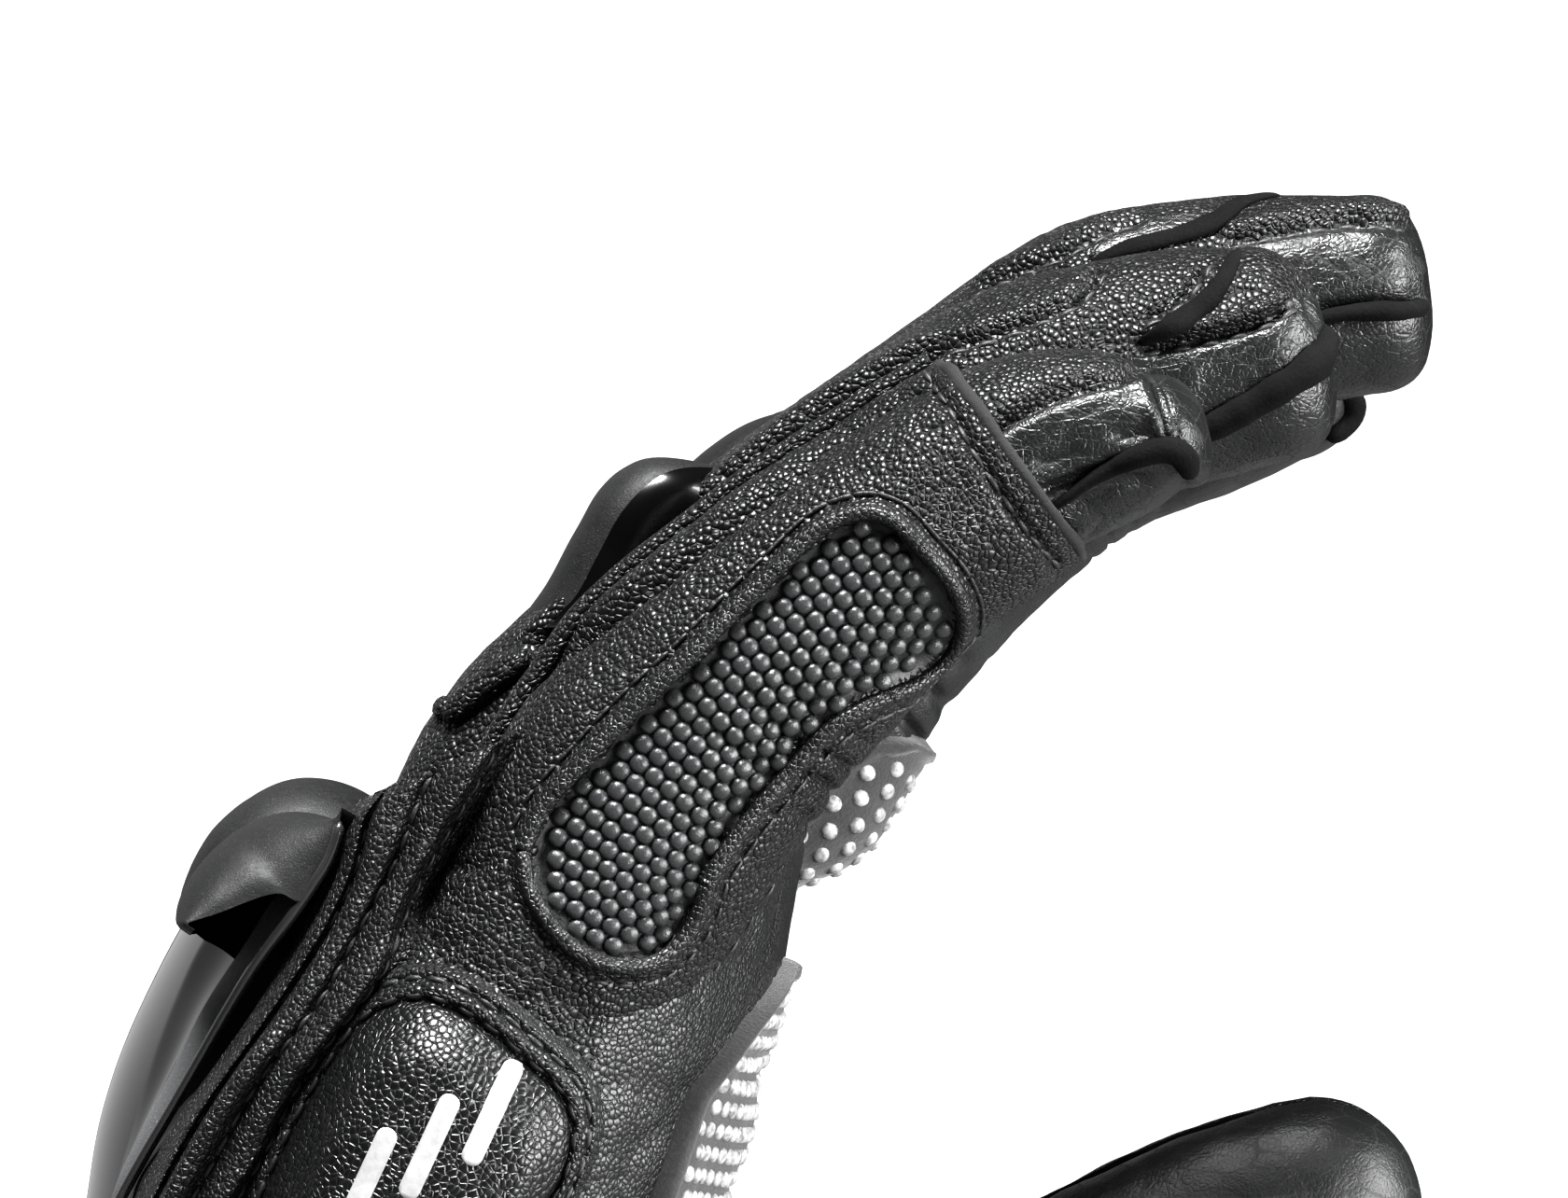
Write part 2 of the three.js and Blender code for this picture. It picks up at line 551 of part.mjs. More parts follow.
// Slab between the heights `low` and `high` over the back surface. `columns` count across
// the hand and `rows` along it. `along` is the covered part of the guard's length, `across`
// the range of y; `dome` raises the middle further.
function guardSlab({
  low, high, columns, rows, shrink = 0, crowned = false,
  along = [0, 1], across = GUARD_Y, dome = 0,
}) {
  const positions = [];
  const pushPoint = (i, j, offset) => {
    const u = i / columns;
    const v = j / rows;
    const y = mix(across[0], across[1], u) * (1 - shrink);
    const [wristEnd, fingerEnd] = guardEnds(y);
    const from = mix(wristEnd, fingerEnd, along[0]);
    const to = mix(wristEnd, fingerEnd, along[1]);
    const centre = (from + to) / 2;
    const t = centre + (mix(from, to, v) - centre) * (1 - shrink);
    let height = backSurface(y, t) + offset;
    if (crowned) {
      const part = clamp((t - wristEnd) / (fingerEnd - wristEnd), 0, 1);
      height += crownHeight(y, part) + dome * Math.sin(Math.PI * u) * Math.sin(Math.PI * v);
    }
    const point = HAND_CENTRE.clone();
    point.addScaledVector(handAlong, t).addScaledVector(dorsal, height);
    positions.push(point.x, y, point.z);
  };
  for (const offset of [low, high]) {
    for (let i = 0; i <= columns; i++) {
      for (let j = 0; j <= rows; j++) pushPoint(i, j, offset);
    }
  }
  const indices = [];
  const quad = (a, b, c, d) => indices.push(a, b, c, a, c, d);
  const bottom = (i, j) => i * (rows + 1) + j;
  const top = (i, j) => (columns + 1) * (rows + 1) + bottom(i, j);
  for (let i = 0; i < columns; i++) {
    for (let j = 0; j < rows; j++) {
      quad(bottom(i, j), bottom(i, j + 1), bottom(i + 1, j + 1), bottom(i + 1, j));
      quad(top(i, j), top(i + 1, j), top(i + 1, j + 1), top(i, j + 1));
    }
  }
  for (let i = 0; i < columns; i++) {
    quad(bottom(i, 0), bottom(i + 1, 0), top(i + 1, 0), top(i, 0));
    quad(bottom(i, rows), top(i, rows), top(i + 1, rows), bottom(i + 1, rows));
  }
  for (let j = 0; j < rows; j++) {
    quad(bottom(0, j), top(0, j), top(0, j + 1), bottom(0, j + 1));
    quad(bottom(columns, j), bottom(columns, j + 1), top(columns, j + 1), top(columns, j));
  }
  return toSolid(new THREE.Float32BufferAttribute(positions, 3), indices);
}

function addKnuckleGuard() {
  const hand = loft(handRings, GAP, HAND_SIDES);
  const addSlab = (name, paint, options) =>
    add("hand", name, guardSlab(options).subtract(hand), paint);
  addSlab("knuckle_guard_foam", "foam", {
    low: -7, high: -0.5, columns: 10, rows: 4, shrink: 0.07, along: [0, 0.62],
  });
  addSlab("knuckle_guard_base", "gloss", {
    low: 0.2, high: GUARD_BASE_TOP, columns: 14, rows: 6,
  });
  addSlab("knuckle_guard_shell", "gloss", {
    low: GUARD_BASE_TOP + GAP, high: GUARD_SHELL_TOP, columns: 20, rows: 10,
    shrink: 0.02, crowned: true,
  });
  for (const [name, { base: [, y] }] of Object.entries(FINGERS)) {
    addSlab("knuckle_cap_" + name, "rubber", {
      low: GUARD_SHELL_TOP + GAP, high: 4.2, columns: 6, rows: 4,
      crowned: true, dome: 0.5, along: [0.72, 0.955],
      across: [Math.max(-CAP_LIMIT_Y, y - CAP_HALF_WIDE), Math.min(CAP_LIMIT_Y, y + CAP_HALF_WIDE)],
    });
  }
}

// ---------------------------------------------------------------- cuff
const cuffRings = CUFF.map(([x, z, halfWide, halfThick]) =>
  makeRing(vector([x, 0, z]), TO_THUMB, reversed(TO_PALM), halfWide, halfThick, 2.15));

function addCuffShell() {
  const cuffTube = (outer, inner) =>
    keepAbove(trimBeyond(tube(cuffRings, outer, inner, CUFF_SIDES), wrist), RIM_Z + GAP);
  const liningOuter = -LEATHER - GAP;
  const liningInner = liningOuter - LINING;
  addBackAndPalm("cuff", "cuff", "_panel", cuffTube(0, -LEATHER), ORIGIN, reversed(TO_PALM));
  add("cuff", "cuff_lining", cuffTube(liningOuter, liningInner), "lining");
  const binding = keepBelow(tube(cuffRings, 0.5, liningInner - 0.4, CUFF_SIDES), RIM_Z);
  add("cuff", "cuff_binding", binding, "smooth_leather");
}

// Layers stacked outwards from the cuff, each [inner, outer] offset.
const stackOn = (below, thickness) => [below + GAP, below + GAP + thickness];
const LOOP = stackOn(0, 1.0);
const HOOK = stackOn(LOOP[1], 0.9);
const STRAP = stackOn(HOOK[1], 2.0);
const TAB = stackOn(STRAP[1], 1.6);
// Bands round the cuff's palm side: body, name, paint, layer, z range, y range.
const BANDS = [
  ["cuff", "cuff_loop_patch", "hook", LOOP, [16, 40], [-33, 2]],
  ["cuff", "wrist_loop_patch", "hook", LOOP, [62, 76], [-24, 6]],
  ["cuff_flap", "cuff_flap_hook", "hook", HOOK, [18, 38], [-31, 0]],
  ["cuff_flap", "cuff_flap", "leather", STRAP, [12, 44], [-36, 30]],
  ["wrist_strap", "wrist_strap_hook", "hook", HOOK, [63.5, 74.5], [-22, 4]],
  ["wrist_strap", "wrist_strap", "leather", STRAP, [60, 78], [-24, 24]],
  ["wrist_strap", "wrist_strap_tab", "rubber", TAB, [61, 77], [-24.5, -10]],
];
function addBand([body, name, paint, [inner, outer], [bottom, top], [yMin, yMax]]) {
  let band = layer(cuffRings, outer, inner, CUFF_SIDES);
  band = keepBelow(keepAbove(band, bottom), top);
  band = keepSide(band, ORIGIN, TO_THUMB, yMin);
  band = keepSide(band, ORIGIN, reversed(TO_THUMB), -yMax);
  add(body, name, keepSide(band, ORIGIN, TO_PALM, 2), paint);
}

// ---------------------------------------------------------------- assembly
const thumb = makeThumb(THUMB);
for (const [name, finger] of Object.entries(fingers)) addFinger(name, finger);
for (const name of ["ring", "middle", "index"]) addSlider(name, fingers[name]);
addPinkySide(fingers.pinky);
addHandShell(thumb);
addThumb(thumb);
addPalmPatch(thumb);
addUlnarPad();
addGripStrip(fingers.index);
addKnuckleGuard();
addCuffShell();
BANDS.forEach(addBand);

// The origin goes to the middle of the footprint, on the floor.
const extent = new THREE.Box3().setFromObject(glove);
glove.position.x = -(extent.min.x + extent.max.x) / 2;
glove.position.y = -(extent.min.y + extent.max.y) / 2;

export default glove;
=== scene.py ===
# Right-hand motorcycle riding glove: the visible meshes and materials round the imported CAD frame.
# Working units are millimetres in the glove's own frame, with the cuff mouth's centre at x = y = 0:
# +X palm, +Y thumb side, -Y little-finger side (the camera's side), +Z to the fingertips.
# to_m() moves them to the row frame in metres.
import json
import math
import bpy
import numpy as np
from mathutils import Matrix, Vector
from mathutils.bvhtree import BVHTree

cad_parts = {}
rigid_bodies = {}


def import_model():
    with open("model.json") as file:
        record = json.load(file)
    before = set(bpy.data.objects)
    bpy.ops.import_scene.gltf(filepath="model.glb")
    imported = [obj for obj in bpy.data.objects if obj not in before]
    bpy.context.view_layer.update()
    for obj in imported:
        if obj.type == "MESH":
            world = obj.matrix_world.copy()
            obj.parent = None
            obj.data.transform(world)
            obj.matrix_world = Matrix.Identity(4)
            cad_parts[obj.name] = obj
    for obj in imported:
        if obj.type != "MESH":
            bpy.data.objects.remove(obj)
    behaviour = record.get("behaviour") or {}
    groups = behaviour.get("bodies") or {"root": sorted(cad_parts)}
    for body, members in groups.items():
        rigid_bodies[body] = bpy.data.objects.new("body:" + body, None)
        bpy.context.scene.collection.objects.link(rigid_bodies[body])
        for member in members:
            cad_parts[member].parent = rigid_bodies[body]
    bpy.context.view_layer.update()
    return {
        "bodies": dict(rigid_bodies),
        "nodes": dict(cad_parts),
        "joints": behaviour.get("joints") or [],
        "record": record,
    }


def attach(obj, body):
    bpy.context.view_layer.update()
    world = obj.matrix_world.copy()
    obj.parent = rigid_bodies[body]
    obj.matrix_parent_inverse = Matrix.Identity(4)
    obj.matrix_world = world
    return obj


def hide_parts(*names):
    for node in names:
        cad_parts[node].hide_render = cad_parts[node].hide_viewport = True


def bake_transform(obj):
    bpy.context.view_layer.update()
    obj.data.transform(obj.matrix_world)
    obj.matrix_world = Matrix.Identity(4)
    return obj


vec = np.array

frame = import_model()


WRIST_Z = 88.0   # height of the wrist joint above the cuff mouth
wrist = {j["name"]: j for j in frame["joints"]}["wrist_flex"]
OFFSET = vec(wrist["pos_m"], float) * 1000 - vec([0.0, 0.0, WRIST_Z])


def to_m(points):
    return (np.asarray(points, float) + OFFSET) * 1e-3


# Frame of the hand, which leans back from the vertical: along it, towards its back, across it
HAND_LEAN = math.radians(74.8)
ALONG = vec([math.cos(HAND_LEAN), 0, math.sin(HAND_LEAN)])
BACK = vec([-ALONG[2], 0, ALONG[0]])
ACROSS = vec([0.0, 1.0, 0.0])
HAND_ORIGIN = vec([21.5, 0.0, 170.0])


def on_hand(t, n, y=0.0):
    """Points at t along the hand, n towards the back, y across."""
    t, n, y = (np.asarray(v, float)[..., None] for v in (t, n, y))
    return HAND_ORIGIN + ALONG * t + BACK * n + ACROSS * y


def to_hand(line):
    """(x, z) points as (t, n)."""
    rel = line - HAND_ORIGIN[[0, 2]]
    return np.stack([rel @ ALONG[[0, 2]], rel @ BACK[[0, 2]]], -1)


# ---------------------------------------------------------------- numbers and noise
def path(*numbers):
    """(x, z) points from a flat list, seen from the little-finger side."""
    return np.reshape(numbers, (-1, 2)).astype(float)


def unit(v):
    v = np.asarray(v, float)
    return v / np.maximum(np.linalg.norm(v, axis=-1, keepdims=True), 1e-12)


def ease(x, a, b):
    """Smooth 0..1 as x goes from a to b."""
    t = np.clip((np.asarray(x, float) - a) / (b - a), 0, 1)
    return t * t * (3 - 2 * t)


def bell(x, width):
    return np.exp(-(x / width) ** 2)


NOISE_TABLE = np.random.RandomState(71).rand(4096)
HASH = vec([73856093, 19349663, 83492791])


def noise(points, size, seed=0):
    """Smooth value noise in 3-D, -1..1, with lumps about `size` mm apart."""
    q = np.asarray(points, float) / size + 37.3 * (seed + 1)
    cell = np.floor(q).astype(np.int64)
    part = q - cell
    part = part * part * part * (part * (part * 6 - 15) + 10)
    out = 0
    for corner in np.ndindex(2, 2, 2):
        h = (cell + vec(corner)) * HASH
        h = h[..., 0] ^ h[..., 1] ^ h[..., 2] ^ (seed * 2654435)
        out = out + NOISE_TABLE[h & 4095] * np.where(corner, part, 1 - part).prod(-1)
    return out * 2 - 1


def lumps(points, size, seed=0, layers=3):
    """Layered noise, each layer half the size of the one before."""
    out, amount, total = 0, 1.0, 0.0
    for i in range(layers):
        out = out + amount * noise(points, size / 2 ** i, seed + 11 * i)
        total += amount
        amount *= 0.55
    return out / total


def folds(points, size, seed=0):
    """Ridged noise from 0 up that makes creases, not lumps."""
    coarse = 1 - np.abs(noise(points, size, seed)) * 2.2
    fine = 1 - np.abs(noise(points, size * 0.5, seed + 5)) * 2.2
    return np.clip(coarse, 0, 1) ** 2 + 0.5 * np.clip(fine, 0, 1) ** 2


# ---------------------------------------------------------------- curves
def spline(stations, values, at):
    """Catmull-Rom through values at stations (uneven steps allowed)."""
    stations = np.asarray(stations, float)
    values = np.asarray(values, float)
    at = np.asarray(at, float)
    if values.ndim == 1:
        return spline(stations, values[:, None], at)[:, 0]
    count = len(stations)
    slope = np.zeros_like(values)
    rate = (values[1:] - values[:-1]) / (stations[1:] - stations[:-1])[:, None]
    slope[0], slope[-1] = rate[0], rate[-1]
    for i in range(1, count - 1):
        before, after = stations[i] - stations[i - 1], stations[i + 1] - stations[i]
        slope[i] = (rate[i - 1] * after + rate[i] * before) / (before + after)
    i = np.clip(np.searchsorted(stations, at, side="right") - 1, 0, count - 2)
    step = stations[i + 1] - stations[i]
    u = ((at - stations[i]) / step)[:, None]
    step = step[:, None]
    return ((2 * u**3 - 3 * u**2 + 1) * values[i] + (u**3 - 2 * u**2 + u) * step * slope[i]
            + (-2 * u**3 + 3 * u**2) * values[i + 1] + (u**3 - u**2) * step * slope[i + 1])


def from_table(x, table):
    """Spline through (x, value) rows, held at the ends."""
    table = vec(table, float)
    return spline(table[:, 0], table[:, 1], np.clip(x, table[0, 0], table[-1, 0]))


def arc(line):
    """Length along a line at each of its points."""
    steps = np.linalg.norm(np.diff(np.asarray(line, float), axis=0), axis=1)
    return np.concatenate([[0], np.cumsum(steps)])


def lerp(at, stations, values):
    """Straight-line interpolation of each column of values."""
    return np.stack([np.interp(at, stations, column) for column in np.asarray(values).T], -1)


def even_line(line, step=0.5):
    """A line through the points, smoothed and resampled at even steps."""
    s = arc(line)
    count = max(3, int(s[-1] / step) + 1)
    fine = spline(s, line, np.linspace(0, s[-1], count))
    s = arc(fine)
    return lerp(np.linspace(0, s[-1], count), s, fine)


def closed(line):
    return np.vstack([line, line[:1]])


def blur(values, sigma, axis=0):
    """Gaussian blur along an axis, sigma in samples, ends kept by extension."""
    reach = int(3 * sigma) + 1
    weight = np.exp(-0.5 * (np.arange(-reach, reach + 1) / sigma) ** 2)
    weight /= weight.sum()
    a = np.moveaxis(np.asarray(values, float), axis, 0)
    n = len(a)
    head = [2 * a[0] - a[min(i, n - 1)] for i in range(reach, 0, -1)]
    tail = [2 * a[-1] - a[max(n - 1 - i, 0)] for i in range(1, reach + 1)]
    long = np.concatenate([vec(head), a, vec(tail)])
    return np.moveaxis(sum(weight[i] * long[i:i + n] for i in range(2 * reach + 1)), 0, axis)


def line_distance(points, line, chunk=20000):
    """(distance, signed distance, along) from points to a line in the same plane, left positive."""
    a, b = line[:-1], line[1:]
    ab = b - a
    square = np.maximum((ab**2).sum(1), 1e-12)
    start = arc(line)[:-1]
    length = np.sqrt(square)
    shape = points.shape[:-1]
    points = points.reshape(-1, 2)
    distance, signed, along = (np.empty(len(points)) for _ in range(3))
    for c in range(0, len(points), chunk):
        x = points[c:c + chunk, None, :]
        t = np.clip(((x - a) * ab).sum(2) / square, 0, 1)
        d = np.linalg.norm(x - (a + t[..., None] * ab), axis=2)
        k = d.argmin(1)
        row = np.arange(len(k))
        distance[c:c + chunk] = d[row, k]
        cross = ab[k, 0] * (x[:, 0, 1] - a[k, 1]) - ab[k, 1] * (x[:, 0, 0] - a[k, 0])
        signed[c:c + chunk] = np.sign(cross) * d[row, k]
        along[c:c + chunk] = start[k] + t[row, k] * length[k]
    return distance.reshape(shape), signed.reshape(shape), along.reshape(shape)


def inside(points, outline):
    """Even-odd test of points in a closed outline."""
    x, z = points[..., 0], points[..., 1]
    out = np.zeros(x.shape, bool)
    for (x0, z0), (x1, z1) in zip(outline, np.roll(outline, -1, 0)):
        if abs(z1 - z0) < 1e-12:
            continue
        crossed = (z0 > z) != (z1 > z)
        out ^= crossed & (x < (x1 - x0) * (z - z0) / (z1 - z0) + x0)
    return out


def depth_inside(points, outline):
    """Distance to a closed outline: positive inside, negative outside."""
    distance = line_distance(points, closed(outline))[0]
    return np.where(inside(points, outline), distance, -distance)


def ray_to_line(start, direction, line):
    """Distance from start along direction to a line in the plane, or None."""
    best = None
    for (x0, z0), (x1, z1) in zip(line[:-1], line[1:]):
        matrix = vec([[direction[0], -(x1 - x0)], [direction[1], -(z1 - z0)]])
        if abs(np.linalg.det(matrix)) < 1e-9:
            continue
        t, u = np.linalg.solve(matrix, vec([x0 - start[0], z0 - start[1]]))
        if t > 2 and -0.001 <= u <= 1.001 and (best is None or t < best):
            best = t
    return best


# ---------------------------------------------------------------- meshes
def grid_quads(rows, columns, wrap):
    r = np.arange(rows - 1)[:, None]
    c = np.arange(columns if wrap else columns - 1)[None, :]
    a = r * columns + c
    b = r * columns + (c + 1) % columns
    return np.stack([a, b, b + columns, a + columns], -1).reshape(-1, 4)


def grid_normals(points, wrap):
    """Unit normals of a grid (rows, columns, 3)."""
    du = np.gradient(points, axis=0)
    if wrap:
        dv = (np.roll(points, -1, 1) - np.roll(points, 1, 1)) / 2
    else:
        dv = np.gradient(points, axis=1)
    return unit(np.cross(dv, du))


def normals_facing(points, row, column, direction, wrap=False):
    """Grid normals, turned so that the one at (row, column) looks along direction."""
    normals = grid_normals(points, wrap)
    return -normals if normals[row, column] @ direction < 0 else normals


def outward(faces, points, normals, probe):
    """The faces, reversed if face number `probe` looks against its normal."""
    corners = faces[probe]
    origin = points[corners[0]]
    turn = np.cross(points[corners[1]] - origin, points[corners[-1]] - origin)
    return faces[:, ::-1] if turn @ normals[corners[0]] < 0 else faces


def build(name, points, faces, mats, where, nodes=(), index=None, normals=None):
    """Builds one mesh. faces is a list of (n, 3) or (n, 4) index arrays. where is a body name,
    or (a, b, start, end) for a piece between two bodies, which is left unparented; a, b, start and
    end are not used."""
    mesh = bpy.data.meshes.new(name)
    mesh.vertices.add(len(points))
    mesh.vertices.foreach_set("co", to_m(points).astype(np.float32).ravel())
    corners = np.concatenate([f.ravel() for f in faces])
    sizes = np.concatenate([np.full(len(f), f.shape[1]) for f in faces])
    mesh.loops.add(len(corners))
    mesh.loops.foreach_set("vertex_index", corners.astype(np.int32))
    mesh.polygons.add(len(sizes))
    mesh.polygons.foreach_set("loop_start", (np.cumsum(sizes) - sizes).astype(np.int32))
    mesh.polygons.foreach_set("use_smooth", np.full(len(sizes), True))
    for mat in (mats if isinstance(mats, (list, tuple)) else [mats]):
        mesh.materials.append(mat)
    if index is not None:
        mesh.polygons.foreach_set("material_index", np.asarray(index, np.int32))
    mesh.update(calc_edges=True)
    mesh.validate()
    if normals is not None:
        normals = unit(normals.reshape(-1, 3)).astype(np.float32)
        mesh.normals_split_custom_set_from_vertices(normals.tolist())
    ob = bpy.data.objects.new(name, mesh)
    bpy.context.scene.collection.objects.link(ob)
    if isinstance(where, str):
        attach(ob, where)
    else:
        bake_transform(ob)
    if nodes:
        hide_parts(*nodes)


def build_sheet(name, points, facing, probe, mats, where, nodes=(), index=None,
                normals=None, wrap=False):
    """One mesh from a grid of points. `facing` are the normals its faces follow."""
    flat = points.reshape(-1, 3)
    faces = outward(grid_quads(*points.shape[:2], wrap), flat, facing.reshape(-1, 3), probe)
    build(name, flat, [faces], mats, where, nodes, index, normals)


class Batch:
    """Collects small parts of one kind into one mesh."""

    def __init__(self):
        self.points, self.faces, self.count = [], [], 0

    def add(self, points, *faces):
        self.points.append(points)
        self.faces += [f + self.count for f in faces]
        self.count += len(points)

    def build(self, name, mat, where, slot, nodes=()):
        if not self.count:
            return
        by_size = [[f for f in self.faces if f.shape[1] == size] for size in (4, 3)]
        faces = [np.vstack(group) for group in by_size if group]
        build(name, np.vstack(self.points), faces, mat, where, nodes)


class Surface:
    """The outer surface of some grids, found along a line, so that details sit on it."""

    def __init__(self, *grids, wrap=True):
        points, faces, count = [], [], 0
        for grid in grids:
            rows, columns, _ = grid.shape
            points.append(grid.reshape(-1, 3))
            faces.append(grid_quads(rows, columns, wrap) + count)
            count += rows * columns
        self.tree = BVHTree.FromPolygons(np.vstack(points).tolist(), np.vstack(faces).tolist())

    def cast(self, start, direction):
        """(point, normal against the ray), or (None, None)."""
        hit, n, _, _ = self.tree.ray_cast(Vector(start), Vector(direction), 200.0)
        if hit is None:
            return None, None
        n = vec(n)
        return vec(hit), -n if n @ np.asarray(direction) > 0 else n

    def near(self, x, z):
        """From the little-finger side."""
        return self.cast((x, -90.0, z), (0, 1, 0))

    def near_y(self, x, z):
        hit, _ = self.near(x, z)
        return np.nan if hit is None else hit[1]

    def nearest(self, point):
        hit, n, _, _ = self.tree.find_nearest(Vector(point))
        return vec(hit), vec(n)

    def near_line(self, line, step=0.6, lift=0.0):
        """Lays an (x, z) line on the surface from the little-finger side."""
        points, normals = [], []
        for x, z in even_line(line, step):
            hit, n = self.near(x, z)
            if hit is not None:
                points.append(hit + n * lift)
                normals.append(n)
        return vec(points), blur(vec(normals), 1.5)


def dome(centre, n, u, radius, height, sides, rings, square=2.0, stretch_u=1.0, stretch_v=1.0):
    """A low domed stud or dot on a surface, with a skirt that sinks into it."""
    v = np.cross(n, u)
    angle = np.linspace(0, 2 * np.pi, sides, endpoint=False)
    climb = np.linspace(0, math.pi / 2 * 0.86, rings)
    profile = [(1.0, -0.5)] + [(math.cos(a) ** 0.75, math.sin(a)) for a in climb]
    c, s = np.cos(angle), np.sin(angle)
    k = (np.abs(c) ** square + np.abs(s) ** square) ** (-1 / square)
    points = [centre + np.outer(c * k * radius * out * stretch_u, u)
              + np.outer(s * k * radius * out * stretch_v, v) + n * (height * up)
              for out, up in profile]
    points.append((centre + n * height)[None])
    rows = len(profile)
    i = np.arange(sides)
    top = (rows - 1) * sides
    fan = np.stack([top + i, top + (i + 1) % sides, np.full(sides, rows * sides)], 1)
    return np.vstack(points), grid_quads(rows, sides, True), fan


def cord_shape(line, normals, radius, sides=10, flat=1.0, swell=None, round_ends=True):
    """Points and faces of a cord. flat scales its height, swell its radius along the line."""
    line = np.asarray(line, float)
    d = unit(np.gradient(line, axis=0))
    n = unit(normals - (normals * d).sum(1, keepdims=True) * d)
    b = np.cross(d, n)
    rows = len(line)
    step = np.mean(np.linalg.norm(np.diff(line, axis=0), axis=1))
    from_end = np.minimum(np.arange(rows), np.arange(rows)[::-1]) * step
    if round_ends:
        end = 1 - np.clip(1 - from_end / (1.5 * radius), 0, 1) ** 2
        r = radius * np.sqrt(np.clip(end, 0.004, 1))
    else:
        r = np.full(rows, float(radius))
    if swell is not None:
        r = r * swell
    angle = np.linspace(0, 2 * np.pi, sides, endpoint=False)[None, :, None]
    ring = np.cos(angle) * b[:, None, :] + flat * np.sin(angle) * n[:, None, :]
    points = (line[:, None, :] + ring * r[:, None, None]).reshape(-1, 3)
    i = np.arange(sides)
    j = (i + 1) % sides
    last = (rows - 1) * sides
    faces = [grid_quads(rows, sides, True),
             np.stack([j, i, np.full(sides, len(points))], 1),
             np.stack([last + i, last + j, np.full(sides, len(points) + 1)], 1)]
    return np.vstack([points, line[:1], line[-1:]]), faces


def cord(name, line, normals, radius, mat, where, slot="grain_leather", **shape):
    """A rounded cord or piping along a 3-D line."""
    points, faces = cord_shape(line, normals, radius, **shape)
    build(name, points, faces, mat, where)


# ---------------------------------------------------------------- stitches
THREADS = {}   # body name: (where, batch)


def stitch_shape(centre, d, n, length, width, height, sides=8, rings=6):
    """One stitch: a rounded thread lying along d on a surface with normal n."""
    b = unit(np.cross(n, d))
    angle = np.linspace(0, 2 * np.pi, sides, endpoint=False)
    points = []
    for u in np.linspace(-1, 1, rings):
        r = max(0.12, (1 - abs(u) ** 3.2)) ** 0.5
        middle = centre + d * (u * length / 2) - n * (abs(u) ** 2 * height * 0.55)
        points.append(middle + np.outer(np.cos(angle) * width / 2 * r, b)
                      + np.outer(np.sin(angle) * height / 2 * r, n))
    return np.vstack(points), grid_quads(rings, sides, True)


def stitches(line, normals, body, pitch=2.45, length=1.95, width=0.55, height=0.42, sink=0.05):
    """Lays stitches along a 3-D line."""
    s = arc(line)
    name = body if isinstance(body, str) else body[1]
    batch = THREADS.setdefault(name, (body, Batch()))[1]
    for i in range(int(s[-1] / pitch)):
        at = (i + 0.5) * pitch
        start, end, centre = (lerp(q, s, line) for q in (at - length / 2, at + length / 2, at))
        n = unit(lerp(at, s, normals))
        batch.add(*stitch_shape(centre + n * (height * 0.25 - sink), unit(end - start), n,
                                np.linalg.norm(end - start), width, height))


# ---------------------------------------------------------------- materials
def grey(value, tint=0.0):
    """A grey, a little bluer with more tint."""
    return (value * (1 - tint), value, value * (1 + tint), 1)


